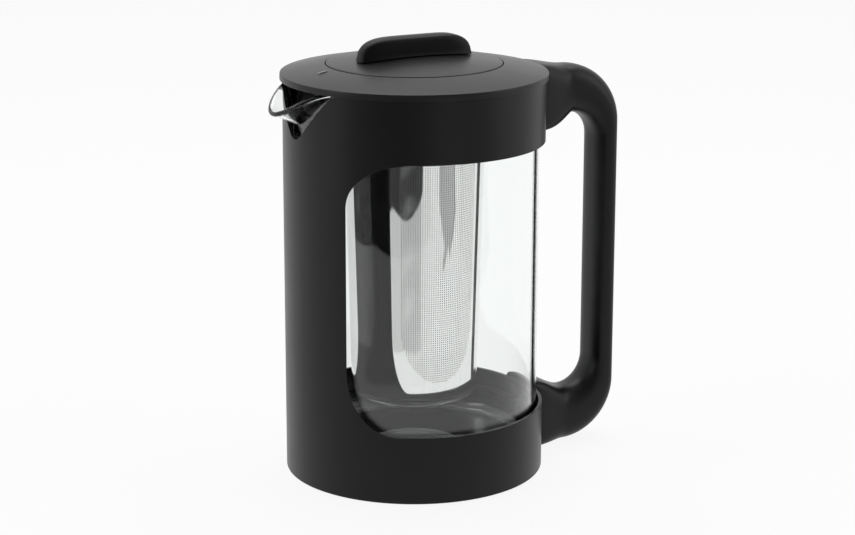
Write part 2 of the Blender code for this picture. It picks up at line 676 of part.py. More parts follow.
def seal_groove(outer_radius, depth, bottom, height):
    """Points of a groove in an upright outer wall, from its top to its bottom."""
    return [
        (outer_radius, bottom + height + GAP),
        (outer_radius - depth, bottom + height + GAP),
        (outer_radius - depth, bottom - GAP),
        (outer_radius, bottom - GAP),
    ]


def seal_outline(groove_radius, wall_radius, bottom, height):
    """A seal with a proud lip, from the groove's floor to just short of the wall it seals against."""
    waist = wall_radius - (wall_radius - groove_radius) * SEAL_LIP_SHARE
    lip_height_shares = (0.0, 0.3, 0.5, 0.8, 1.0)
    radii = (waist, wall_radius, waist, wall_radius, waist)
    lips = [(radius, bottom + height * share) for radius, share in zip(radii, lip_height_shares)]
    return [(groove_radius, bottom), *lips, (groove_radius, bottom + height)]


def add_lid(lid_carrier, ring_carrier):
    """Lid ring with its skirt, hub, pour opening and pointer mark, and the seal round its skirt."""
    seal_bottom = SKIRT_BOTTOM_Z + SEAL_ABOVE_SKIRT_EDGE
    plate_under_skirt = lid_top_z(SKIRT_INNER_RADIUS) - LID_PLATE_THICKNESS
    hub_step_radius = HUB_WELL_RADIUS + HUB_WALL
    hub_outer_radius = HUB_BORE_RADIUS + HUB_WALL
    plate_under_hub = lid_top_z(HUB_MOUTH_RADIUS + HUB_WALL) - LID_PLATE_THICKNESS
    outline = [
        (HUB_MOUTH_RADIUS, SEAM_TOP_Z - CAP_EDGE_ROUNDING),
        (HUB_MOUTH_RADIUS + CAP_EDGE_ROUNDING, SEAM_TOP_Z),
        (LID_RADIUS - LID_EDGE_ROUNDING, lid_top_z(LID_RADIUS - LID_EDGE_ROUNDING)),
        (LID_RADIUS, LID_EDGE_TOP_Z - LID_EDGE_ROUNDING),
        (LID_RADIUS, LID_UNDERSIDE_Z + LID_EDGE_ROUNDING / 2),
        (LID_RADIUS - LID_EDGE_ROUNDING / 2, LID_UNDERSIDE_Z),
        (SKIRT_RADIUS, LID_UNDERSIDE_Z),
        *seal_groove(SKIRT_RADIUS, SEAL_GROOVE_DEPTH, seal_bottom, SEAL_HEIGHT),
        (SKIRT_RADIUS, SKIRT_BOTTOM_Z),
        (SKIRT_INNER_RADIUS, SKIRT_BOTTOM_Z),
        (SKIRT_INNER_RADIUS, plate_under_skirt),
        (HUB_MOUTH_RADIUS + HUB_WALL, plate_under_hub),
        (hub_step_radius, HUB_SEAT_Z - HUB_WALL),
        (hub_outer_radius, HUB_SEAT_Z - HUB_WALL),
        (hub_outer_radius, HUB_BOTTOM_Z),
        (HUB_BORE_RADIUS, HUB_BOTTOM_Z),
        (HUB_BORE_RADIUS, HUB_SEAT_Z),
        (HUB_WELL_RADIUS, HUB_SEAT_Z),
        (HUB_WELL_RADIUS, CAP_LEDGE_Z),
        (HUB_MOUTH_RADIUS, CAP_LEDGE_Z),
    ]
    ring = add_piece("lid_ring", turned(outline), LID_PLASTIC, ring_carrier)
    opening_top = LID_UNDERSIDE_Z - POUR_OPENING_BELOW_PLATE
    opening = block(
        (-SKIRT_RADIUS - CUT_OVERRUN, -POUR_OPENING_WIDTH / 2, opening_top - POUR_OPENING_HEIGHT),
        (-SKIRT_INNER_RADIUS * cos(POUR_OPENING_WIDTH / SKIRT_RADIUS), POUR_OPENING_WIDTH / 2, opening_top),
    )
    cut(ring, add_piece("pour_opening_cutter", opening, LID_PLASTIC))
    mark_inner = HUB_MOUTH_RADIUS + MARK_FROM_SEAM
    mark_outer = mark_inner + MARK_LENGTH
    mark = bmesh.new()
    side = MARK_WIDTH / 2
    mark_rings = []
    for radius in (mark_inner, mark_outer):
        top = lid_top_z(radius) + MARK_RISE
        bottom = lid_top_z(radius) - LID_PLATE_THICKNESS / 2
        mark_rings.append([(-radius, -side, bottom), (-radius, side, bottom), (-radius, side, top), (-radius, -side, top)])
    skin(mark, mark_rings)
    cut(ring, add_piece("mark_joiner", mark, LID_PLASTIC), operation="UNION")
    seal = seal_outline(SKIRT_RADIUS - SEAL_GROOVE_DEPTH + GAP, GLASS_INNER_RADIUS - GAP, seal_bottom, SEAL_HEIGHT)
    add_piece("lid_seal", turned(seal), GREY_SILICONE, lid_carrier)


def block(low, high):
    """A box between two corners."""
    shape = bmesh.new()
    bmesh.ops.create_cube(shape, size=1)
    middle = (Vector(low) + Vector(high)) / 2
    size = Vector(high) - Vector(low)
    for vert in shape.verts:
        vert.co = middle + Vector(v * s for v, s in zip(vert.co, size))
    return shape


def add_infuser(carrier):
    """Tube with a rolled lip, the pressed cup that closes it, and the collar that it hangs in."""
    cone_top = TUBE_LIP_TOP_Z - TUBE_STRAIGHT_TOP
    lip_radius = TUBE_TOP_RADIUS + TUBE_LIP_WIDTH
    tube = [
        (TUBE_BOTTOM_RADIUS, TUBE_BOTTOM_Z),
        (TUBE_TOP_RADIUS, cone_top),
        (TUBE_TOP_RADIUS, TUBE_LIP_BOTTOM_Z),
        (lip_radius, TUBE_LIP_BOTTOM_Z),
        (lip_radius, TUBE_LIP_TOP_Z),
        (TUBE_TOP_RADIUS - TUBE_WALL, TUBE_LIP_TOP_Z),
        (TUBE_TOP_RADIUS - TUBE_WALL, cone_top),
        (TUBE_BOTTOM_RADIUS - TUBE_WALL, TUBE_BOTTOM_Z),
    ]
    add_piece("infuser_tube", turned(tube, steps=SMALL_ROUND_STEPS), POLISHED_STEEL, carrier)
    seam_z = TUBE_BOTTOM_Z - GAP
    lap_radius = TUBE_BOTTOM_RADIUS - TUBE_WALL - GAP
    flat_radius = TUBE_BOTTOM_RADIUS - CUP_CORNER_RADIUS
    corner = (flat_radius, seam_z)
    cup = [
        (0, CUP_BOTTOM_Z),
        *arc(corner, CUP_CORNER_RADIUS, -90, 0, steps=3),
        (lap_radius, seam_z),
        (lap_radius, TUBE_BOTTOM_Z + CUP_LAP),
        (lap_radius - TUBE_WALL, TUBE_BOTTOM_Z + CUP_LAP),
        (lap_radius - TUBE_WALL, seam_z),
        *arc(corner, CUP_CORNER_RADIUS - TUBE_WALL, -30, -90, steps=2),
        (0, CUP_BOTTOM_Z + TUBE_WALL),
    ]
    add_piece("infuser_cup", turned(cup, steps=SMALL_ROUND_STEPS, closed=False), POLISHED_STEEL, carrier)
    collar = [
        (NECK_INNER_RADIUS, FLANGE_TOP_Z),
        (FLANGE_RADIUS, FLANGE_TOP_Z),
        (FLANGE_RADIUS, FLANGE_BOTTOM_Z),
        (NECK_RADIUS, FLANGE_BOTTOM_Z),
        (NECK_RADIUS, FLANGE_BOTTOM_Z - COLLAR_RING_NECK),
        (NECK_INNER_RADIUS, FLANGE_BOTTOM_Z - COLLAR_RING_NECK),
    ]
    add_piece("infuser_collar", turned(collar, steps=SMALL_ROUND_STEPS), POLISHED_STEEL, carrier)


def cap_top_z(radius):
    """Height of the cap's domed top at a radius."""
    return SEAM_TOP_Z + CAP_RISE * (1 - (radius / CAP_RADIUS) ** 2)


def add_cap(carrier):
    """Inner cap, its seal, the grip bar and the two screws that hold the bar."""
    rim_under_radius = HUB_WELL_RADIUS - GAP
    rim_bottom = CAP_LEDGE_Z + GAP
    dome_shares = (0.0, 0.35, 0.62, 0.82)
    seal_bottom = CAP_SKIRT_BOTTOM_Z + CAP_SEAL_ABOVE_EDGE
    hollow_z = cap_top_z(CAP_SKIRT_RADIUS) - CAP_PLATE_THICKNESS
    outline = [
        *((CAP_RADIUS * share, cap_top_z(CAP_RADIUS * share)) for share in dome_shares),
        (CAP_RADIUS - CAP_EDGE_ROUNDING, SEAM_TOP_Z),
        (CAP_RADIUS, SEAM_TOP_Z - CAP_EDGE_ROUNDING),
        (CAP_RADIUS, rim_bottom),
        (rim_under_radius, rim_bottom),
        (rim_under_radius, SEAM_TOP_Z - CAP_PLATE_THICKNESS / 2),
        (CAP_SKIRT_RADIUS, hollow_z),
        *seal_groove(CAP_SKIRT_RADIUS, CAP_SEAL_GROOVE_DEPTH, seal_bottom, CAP_SEAL_HEIGHT),
        (CAP_SKIRT_RADIUS, CAP_SKIRT_BOTTOM_Z),
        (CAP_SKIRT_INNER_RADIUS, CAP_SKIRT_BOTTOM_Z),
        (CAP_SKIRT_INNER_RADIUS, hollow_z),
        (0, hollow_z),
    ]
    cap = add_piece("lid_cap", turned(outline, steps=SMALL_ROUND_STEPS, closed=False), LID_PLASTIC, carrier)
    groove_radius = CAP_SKIRT_RADIUS - CAP_SEAL_GROOVE_DEPTH + GAP
    seal = seal_outline(groove_radius, TUBE_TOP_RADIUS - TUBE_WALL - GAP, seal_bottom, CAP_SEAL_HEIGHT)
    add_piece("cap_seal", turned(seal, steps=SMALL_ROUND_STEPS), GREY_SILICONE, carrier)
    grip = add_piece("lid_grip", grip_shape(), GRIP_PLASTIC, carrier)
    for index, side in ((1, -1), (2, 1)):
        place = side * GRIP_SCREW_SPACING / 2
        screw_shape = upright_at(grip_screw_outline(hollow_z, place, 0), place)
        add_piece(f"grip_screw_{index}", screw_shape, SCREW_STEEL, carrier)
        hole_shape = upright_at(grip_screw_outline(hollow_z, place, GAP), place)
        hole = add_piece(f"grip_screw_hole_{index}", hole_shape, SCREW_STEEL)
        cut(cap, hole)
        cut(grip, hole)


def grip_screw_outline(seat_z, place, clearance):
    """(r, z) of a screw from under the cap into the grip, or of its hole when clearance is given."""
    tip = cap_top_z(place) + GRIP_SCREW_BITE
    if clearance:
        shank = GRIP_SCREW_RADIUS + clearance
        start = seat_z - CUT_OVERRUN
        return [(0, start), (shank, start), (shank, tip), (0, tip + clearance)]
    head_top = seat_z - GAP
    head_bottom = head_top - GRIP_SCREW_HEAD_HEIGHT
    return [
        (0, head_bottom),
        (GRIP_SCREW_HEAD_RADIUS * GRIP_SCREW_CROWN_SHARE, head_bottom),
        (GRIP_SCREW_HEAD_RADIUS, (head_bottom + head_top) / 2),
        (GRIP_SCREW_HEAD_RADIUS, head_top),
        (GRIP_SCREW_RADIUS, head_top),
        (GRIP_SCREW_RADIUS, tip - GRIP_SCREW_RADIUS),
        (0, tip),
    ]


def upright_at(outline, place):
    """Turns an upright outline and moves it along X."""
    shape = turned(outline, steps=SCREW_STEPS, closed=False)
    bmesh.ops.translate(shape, verts=shape.verts, vec=(place, 0, 0))
    return shape


def grip_shape():
    """The grip bar: rounded-rectangle sections that draw in towards its top, over the cap's dome."""
    half_length = GRIP_LENGTH / 2
    half_thickness = GRIP_THICKNESS / 2
    foot_z = cap_top_z(0) + GAP
    turns = [tau * step / GRIP_SECTION_STEPS for step in range(GRIP_SECTION_STEPS)]
    plan = [superellipse(turn, GRIP_PLAN_POWER) for turn in turns]
    rings = []
    foot_shares = (0.3, 0.7, 1.0)
    for share in foot_shares:
        ring = [(a * half_length * share, b * half_thickness * share) for a, b in plan]
        rings.append([(x, y, cap_top_z(hypot(x, y)) + GAP) for x, y in ring])
    height_shares = (0.22, 0.45, 0.65, 0.8, 0.9, 0.96, 0.99)
    for share in height_shares:
        length = half_length * (1 - share**2) ** (1 / GRIP_END_POWER)
        rounding = sqrt(1 - share**GRIP_EDGE_POWER)
        thickness = half_thickness * (1 - GRIP_DRAFT_SHARE * share) * rounding
        height = foot_z + (GRIP_HEIGHT - GAP) * share
        rings.append([(a * length, b * thickness, height) for a, b in plan])
    shape = bmesh.new()
    skin(shape, rings)
    return shape


clear_scene()
casing = add_piece("casing", casing_shape(), BLACK_PLASTIC)
add_bevel(casing, CASING_EDGE_ROUNDING)
add_handle(casing)
add_base()
add_piece("glass_beaker", glass_shape(), CLEAR_GLASS)
lid_carrier = add_carrier("lid_lift_axis", SKIRT_BOTTOM_Z)
ring_carrier = add_carrier("lid_turn_axis", LID_UNDERSIDE_Z, lid_carrier)
add_lid(lid_carrier, ring_carrier)
infuser_carrier = add_carrier("infuser_lift_axis", HUB_SEAT_Z, ring_carrier)
add_infuser(infuser_carrier)
cap_carrier = add_carrier("cap_lift_axis", CAP_LEDGE_Z, infuser_carrier)
add_cap(cap_carrier)
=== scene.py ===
from math import acos, asin, atan2, cos, degrees, hypot, pi, radians, sin, sqrt, tau

import bmesh
import bpy
from mathutils import Matrix, Vector


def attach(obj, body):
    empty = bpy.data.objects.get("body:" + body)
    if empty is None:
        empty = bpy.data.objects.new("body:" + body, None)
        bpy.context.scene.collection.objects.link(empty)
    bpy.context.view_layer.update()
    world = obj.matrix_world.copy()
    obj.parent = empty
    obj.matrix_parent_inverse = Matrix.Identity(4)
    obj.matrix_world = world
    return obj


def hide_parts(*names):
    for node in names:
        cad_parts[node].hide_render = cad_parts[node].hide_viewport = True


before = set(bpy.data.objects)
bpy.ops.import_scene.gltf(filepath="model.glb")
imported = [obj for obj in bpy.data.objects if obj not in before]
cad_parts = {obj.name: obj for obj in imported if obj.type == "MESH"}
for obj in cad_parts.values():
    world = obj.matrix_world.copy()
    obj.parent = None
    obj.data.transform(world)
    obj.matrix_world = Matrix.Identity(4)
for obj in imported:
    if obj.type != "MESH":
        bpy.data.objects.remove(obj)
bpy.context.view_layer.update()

# Camera, in front of the pitcher and to the spout's side.
# It stands about a metre away, a little above the lid, and looks slightly down on it with a long lens.
camera_data = bpy.data.cameras.new("camera")
camera_data.sensor_width = 36.0
camera_data.lens = 99.05
camera = bpy.data.objects.new("camera", camera_data)
bpy.context.scene.collection.objects.link(camera)
camera_place = Matrix.Translation((-0.4740, -0.9023, 0.3575))
camera_heading = Matrix.Rotation(radians(-28.05), 4, "Z")
camera_tilt = Matrix.Rotation(radians(90 - 14.62), 4, "X")
camera_roll = Matrix.Rotation(radians(0.12), 4, "Z")
camera.matrix_world = camera_place @ camera_heading @ camera_tilt @ camera_roll
bpy.context.scene.camera = camera
bpy.context.scene.view_settings.view_transform = "Standard"


# White sweep and soft lamps of a plain studio.
# The sweep and the sky are white where the camera, glass or metal sees them, and the floor keeps a faint
# shadow. The sky is dimmer on the camera's side, as a studio is, and cards lie on the floor there.
class Wire:
    """One output of a shader node. A sum or product of wires and numbers adds its Math nodes."""

    def __init__(self, tree, socket=None):
        self.tree = tree
        self.socket = socket

    def node(self, kind, settings=None, sockets=None, output=0):
        """Adds any other node: its settings first, then the values or wires of its sockets."""
        made = self.tree.nodes.new(kind)
        for name, value in (settings or {}).items():
            setattr(made, name, value)
        for key, value in (sockets or {}).items():
            if isinstance(value, Wire):
                self.tree.links.new(value.socket, made.inputs[key])
            else:
                made.inputs[key].default_value = value
        return Wire(self.tree, made.outputs[output]) if made.outputs else None

    def other(self, output):
        """Another output of the node that this wire comes from."""
        return Wire(self.tree, self.socket.node.outputs[output])

    def math(self, operation, *values):
        sockets = dict(enumerate(values))
        return self.node("ShaderNodeMath", {"operation": operation}, sockets)

    def __add__(self, value):
        return self.math("ADD", self, value)

    def __radd__(self, value):
        return self.math("ADD", value, self)

    def __sub__(self, value):
        return self.math("SUBTRACT", self, value)

    def __rsub__(self, value):
        return self.math("SUBTRACT", value, self)

    def __mul__(self, value):
        return self.math("MULTIPLY", self, value)

    def __rmul__(self, value):
        return self.math("MULTIPLY", value, self)

    def __truediv__(self, value):
        return self.math("DIVIDE", self, value)

    def __lt__(self, value):
        return self.math("LESS_THAN", self, value)

    def __gt__(self, value):
        return self.math("GREATER_THAN", self, value)

    def floor(self):
        return self.math("FLOOR", self)

    def root(self):
        return self.math("SQRT", self)

    def size(self):
        return self.math("ABSOLUTE", self)

    def wrapped(self, length):
        return self.math("FLOORED_MODULO", self, length)

    def at_most_one(self):
        return self.math("MINIMUM", self, 1.0)

    def at_least_zero(self):
        return self.math("MAXIMUM", self, 0.0)

    def between(self, low, high):
        """0 below low, 1 above high, and smooth between them."""
        settings = {"interpolation_type": "SMOOTHSTEP"}
        return self.node("ShaderNodeMapRange", settings, {"Value": self, "From Min": low, "From Max": high})

    def mixed(self, low, high):
        """The colour low where the wire is 0, and high where it is 1."""
        sockets = {0: self, 6: low, 7: high}
        return self.node("ShaderNodeMix", {"data_type": "RGBA"}, sockets, output=2)


def seen_straight(tree):
    """1 for rays that come from the camera, a mirror or through glass, and 0 for light that is scattered."""
    path = Wire(tree).node("ShaderNodeLightPath")
    rays = path + path.other("Is Glossy Ray") + path.other("Is Transmission Ray")
    return rays.at_most_one()


sky = bpy.data.worlds.new("white_studio")
bpy.context.scene.world = sky
sky.use_nodes = True
sky.node_tree.nodes.clear()
sky_wire = Wire(sky.node_tree)
sky_path = sky_wire.node("ShaderNodeLightPath")
sky_direction = sky_wire.node("ShaderNodeTexCoord")
camera_side = (-0.465, -0.885, 0.0)
toward_camera = sky_wire.node(
    "ShaderNodeVectorMath", {"operation": "DOT_PRODUCT"}, {0: sky_direction, 1: camera_side}, output=1
)
front_dimming = 1 - 0.72 * toward_camera.between(-0.25, 0.65)
sky_light = 0.5 * front_dimming
white_for_camera = (sky_path + sky_path.other("Is Transmission Ray")).at_most_one()
shown = sky_path.other("Is Glossy Ray") * front_dimming
scattered = (1 - sky_path.other("Is Glossy Ray")) * sky_light
sky_level = white_for_camera + (1 - white_for_camera) * (shown + scattered)
background = sky_wire.node("ShaderNodeBackground", {}, {"Color": (1, 1, 1, 1), "Strength": sky_level})
sky_wire.node("ShaderNodeOutputWorld", {}, {"Surface": background})

floor_finish = bpy.data.materials.new("pale_floor")
floor_finish.use_nodes = True
floor_finish.node_tree.nodes.clear()
floor_wire = Wire(floor_finish.node_tree)
floor_scatter = floor_wire.node("ShaderNodeBsdfDiffuse", {}, {"Color": (0.86, 0.86, 0.86, 1)})
floor_glow = floor_wire.node("ShaderNodeEmission", {}, {"Color": (1, 1, 1, 1), "Strength": 1.0})
floor_share = 0.9 * seen_straight(floor_finish.node_tree)
floor_mix = floor_wire.node("ShaderNodeMixShader", {}, {0: floor_share, 1: floor_scatter, 2: floor_glow})
floor_wire.node("ShaderNodeOutputMaterial", {}, {"Surface": floor_mix})
floor_half = 6.0
floor_mesh = bpy.data.meshes.new("floor")
floor_corners = [(-floor_half, -floor_half, 0), (floor_half, -floor_half, 0)]
floor_corners += [(floor_half, floor_half, 0), (-floor_half, floor_half, 0)]
floor_mesh.from_pydata(floor_corners, [], [(0, 1, 2, 3)])
floor_mesh.materials.append(floor_finish)
floor = bpy.data.objects.new("floor", floor_mesh)
bpy.context.scene.collection.objects.link(floor)


def add_lamp(name, place, aim, size, power):
    """A soft box: an oblong area lamp at a place, turned to its aim."""
    lamp_data = bpy.data.lights.new(name, "AREA")
    lamp_data.shape = "RECTANGLE"
    lamp_data.size, lamp_data.size_y = size
    lamp_data.energy = power
    lamp = bpy.data.objects.new(name, lamp_data)
    bpy.context.scene.collection.objects.link(lamp)
    lamp.location = place
    lamp.rotation_mode = "QUATERNION"
    lamp.rotation_quaternion = (Vector(aim) - Vector(place)).to_track_quat("-Z", "Y")


def add_card(name, grey, corners, height=0.002):
    """A flat card on the floor, out of the camera's sight, which polished steel shows as a dark shape.

    Its corners are (direction from the pitcher in degrees, distance).
    """
    card_finish = bpy.data.materials.new(name)
    card_finish.use_nodes = True
    card_shader = card_finish.node_tree.nodes["Principled BSDF"]
    card_wire = Wire(card_finish.node_tree)
    card_place = card_wire.node("ShaderNodeTexCoord", {}, {}, output="Object")
    fibres = card_wire.node("ShaderNodeTexNoise", {}, {"Vector": card_place, "Scale": 60.0, "Detail": 2.0})
    card_colour = fibres.mixed((*[grey * 0.9] * 3, 1), (*[grey * 1.1] * 3, 1))
    card_finish.node_tree.links.new(card_colour.socket, card_shader.inputs["Base Color"])
    card_shader.inputs["Roughness"].default_value = 0.9
    points = [(away * cos(radians(toward)), away * sin(radians(toward)), height) for toward, away in corners]
    card_mesh = bpy.data.meshes.new(name)
    card_mesh.from_pydata(points, [], [tuple(range(len(points)))])
    card_mesh.materials.append(card_finish)
    card = bpy.data.objects.new(name, card_mesh)
    bpy.context.scene.collection.objects.link(card)
    card.visible_camera = False


near_edge = [(-179, 0.52), (-172, 0.49), (-164, 0.47), (-157, 0.465), (-153.6, 0.475), (-149.3, 0.468)]
near_edge += [(-141.7, 0.452), (-130.3, 0.438), (-124, 0.441), (-117.4, 0.452), (-111, 0.466)]
near_edge += [(-104.3, 0.493), (-103.6, 0.56)]
pale_corners = [(-158, 0.2), (-132, 0.2), (-106, 0.2), (-106, 0.52), (-132, 0.52), (-158, 0.52)]
add_card("pale_card", 0.78, pale_corners, 0.001)
add_card("black_card", 0.006, near_edge + [(-103.5, 1.0), (-140, 1.3), (-179.5, 1.0)])
left_leg = [(-78, 0.60), (-77.8, 0.532), (-76.4, 0.459), (-71.7, 0.416), (-67.4, 0.385), (-71, 0.347)]
left_leg += [(-69.9, 0.33), (-65.9, 0.35), (-61.2, 0.388)]
right_leg = [(-57.7, 0.357), (-55, 0.386), (-54.2, 0.419), (-51.5, 0.47), (-52, 0.56)]
add_card("light_card", 0.5, left_leg + right_leg + [(-53, 0.9), (-78, 0.9)])
grey_corners = [(-56, 0.385), (-53.2, 0.399), (-48, 0.463), (-49.3, 0.548), (-51, 0.9), (-53, 0.9), (-51.5, 0.47)]
add_card("grey_card", 0.3, grey_corners)
add_lamp("top_softbox", (0.25, 0.45, 1.5), (0, 0, 0.1), (1.4, 1.0), 14.0)
add_lamp("left_softbox", (-1.5, 0.15, 0.7), (0, 0, 0.1), (0.5, 1.2), 6.0)
add_lamp("right_softbox", (1.2, -0.9, 0.7), (0, 0, 0.1), (0.5, 1.2), 4.5)


# Casing: collar, spine, base ring and floor, moulded in one piece from black satin plastic.
# The collar has a notch for the glass's spout, and a wide window runs nearly all the way round.
casing_radius = 0.058
casing_wall = 0.0016
casing_top = 0.178
casing_foot_z = 0.0003
casing_foot_radius = 0.0009
casing_edge_rounding = 0.0004
casing_inner_radius = casing_radius - casing_wall
fit_gap = 0.0003
collar_bottom = 0.1504
base_ring_top = 0.0305
floor_underside = 0.0017
floor_top = 0.0042
floor_corner_radius = 0.002
pad_hole_radius = 0.0443
spine_half_width = 0.0327
window_top_corner = (0.0305, 0.02)
window_foot_corner = (0.024, 0.027)
notch_depth = 0.0225
notch_half_width = 0.031
notch_tip_radius = 0.007
notch_flare_radius = 0.012


def plastic_finish(name, colour, roughness, grain, grain_depth):
    """A moulded plastic: spark-eroded grain in the surface, and slightly uneven gloss and colour."""
    made = bpy.data.materials.new(name)
    made.use_nodes = True
    shader = made.node_tree.nodes["Principled BSDF"]
    wire = Wire(made.node_tree)
    place = wire.node("ShaderNodeTexCoord", {}, {}, output="Object")
    grain_sockets = {"Vector": place, "Scale": grain, "Detail": 3.0, "Roughness": 0.6}
    fine = wire.node("ShaderNodeTexNoise", {}, grain_sockets)
    broad = wire.node("ShaderNodeTexNoise", {}, {"Vector": place, "Scale": 38.0, "Detail": 2.0})
    tone = (0.5 * fine + 0.5 * broad).between(0.3, 0.7)
    darker = (*(part * 0.82 for part in colour), 1)
    lighter = (*(part * 1.2 for part in colour), 1)
    tree = made.node_tree
    tree.links.new(tone.mixed(darker, lighter).socket, shader.inputs["Base Color"])
    gloss = roughness - 0.05 + 0.1 * broad
    tree.links.new(gloss.socket, shader.inputs["Roughness"])
    bump = wire.node("ShaderNodeBump", {}, {"Height": fine, "Strength": 0.35, "Distance": grain_depth})
    tree.links.new(bump.socket, shader.inputs["Normal"])
    shader.inputs["Specular IOR Level"].default_value = 0.22
    return made


def add_piece(name, shape, finish, sharp=32):
    """Makes one smooth, closed piece from a bmesh, with its finish."""
    bmesh.ops.recalc_face_normals(shape, faces=shape.faces)
    mesh = bpy.data.meshes.new(name)
    shape.to_mesh(mesh)
    shape.free()
    mesh.shade_smooth()
    mesh.set_sharp_from_angle(angle=radians(sharp))
    mesh.materials.append(finish)
    piece = bpy.data.objects.new(name, mesh)
    bpy.context.scene.collection.objects.link(piece)
    return piece


def arc(centre, radius, start, end, steps):
    """Points of a round corner, with angles in degrees."""
    turns = [radians(start + (end - start) * step / steps) for step in range(steps + 1)]
    return [(centre[0] + radius * cos(turn), centre[1] + radius * sin(turn)) for turn in turns]


def around(outline, turn):
    """Points of an (r, z) outline at one angle about the jug's axis."""
    return [Vector((r * cos(turn), r * sin(turn), z)) for r, z in outline]


def turned(outline, steps=160):
    """Spins an (r, z) outline about the jug's axis; an outline that meets the axis is closed there."""
    shape = bmesh.new()
    on_axis = outline[0][0] < 1e-9
    points = [shape.verts.new((r, 0, z)) for r, z in outline]
    following = points[1:] if on_axis else points[1:] + points[:1]
    edges = [shape.edges.new(pair) for pair in zip(points, following)]
    full_turn = {"cent": (0, 0, 0), "axis": (0, 0, 1), "angle": tau, "use_merge": True}
    bmesh.ops.spin(shape, geom=points + edges, steps=steps, **full_turn)
    bmesh.ops.remove_doubles(shape, verts=shape.verts, dist=1e-6)
    return shape


def applied(piece):
    """Works the modifiers of a piece into its mesh."""
    bpy.context.view_layer.update()
    graph = bpy.context.evaluated_depsgraph_get()
    finished = bpy.data.meshes.new_from_object(piece.evaluated_get(graph))
    piece.modifiers.clear()
    piece.data = finished


def carve(piece, cutter, operation="DIFFERENCE"):
    """Cuts a solid out of a piece, or joins it on, and takes the cutter away."""
    modifier = piece.modifiers.new("carve", "BOOLEAN")
    modifier.operation = operation
    modifier.solver = "EXACT"
    modifier.object = cutter
    applied(piece)
    bpy.data.objects.remove(cutter, do_unlink=True)


def notch_outline():
    """Half of the spout notch: (distance along the casing, height above its tip), from the tip upward."""
    tip = Vector((0, notch_tip_radius))
    flare = Vector((notch_half_width, notch_depth - notch_flare_radius))
    between = flare - tip
    reach = (notch_tip_radius + notch_flare_radius) / between.length
    slope = degrees(atan2(between.y, between.x) + asin(reach))
    tip_arc = arc(tip, notch_tip_radius, -90, slope - 90, steps=9)
    flare_arc = arc(flare, notch_flare_radius, slope + 90, 90, steps=9)
    start, end = Vector(tip_arc[-1]), Vector(flare_arc[0])
    return tip_arc + [tuple(start.lerp(end, step / 7)) for step in range(1, 7)] + flare_arc


def window_edges(along):
    """Heights of the window's lower and upper edge, with its corners as quarter ellipses."""

    def corner(width, height):
        left = 1 - min((along - spine_half_width) / width, 1.0)
        return height * (1 - sqrt(1 - left**2))

    return base_ring_top + corner(*window_foot_corner), collar_bottom - corner(*window_top_corner)


def window_pull(turn):
    """The inside angle for an outside one: the window's side faces run along Y, as moulds are pulled."""
    edge = spine_half_width / casing_radius
    if turn >= pi / 2:
        return turn
    if turn > edge:
        return acos(casing_radius * cos(turn) / casing_inner_radius)
    return turn * acos(casing_radius * cos(edge) / casing_inner_radius) / edge


def casing_columns():
    """Half of the casing's upright lines: (distance, window bottom, window top, casing top, open or not)."""
    low, high = window_edges(spine_half_width)
    notch_tip = casing_top - notch_depth
    columns = [(along, low, high, notch_tip + height, False) for along, height in notch_outline()]
    turns = [radians(90 * step / 22) for step in range(23)]
    alongs = [spine_half_width + window_top_corner[0] * (1 - cos(turn)) for turn in turns]
    corner_end = alongs[-1]
    alongs += [corner_end + (pi * casing_radius - corner_end) * step / 46 for step in range(1, 47)]
    return columns + [(along, *window_edges(along), casing_top, True) for along in alongs]


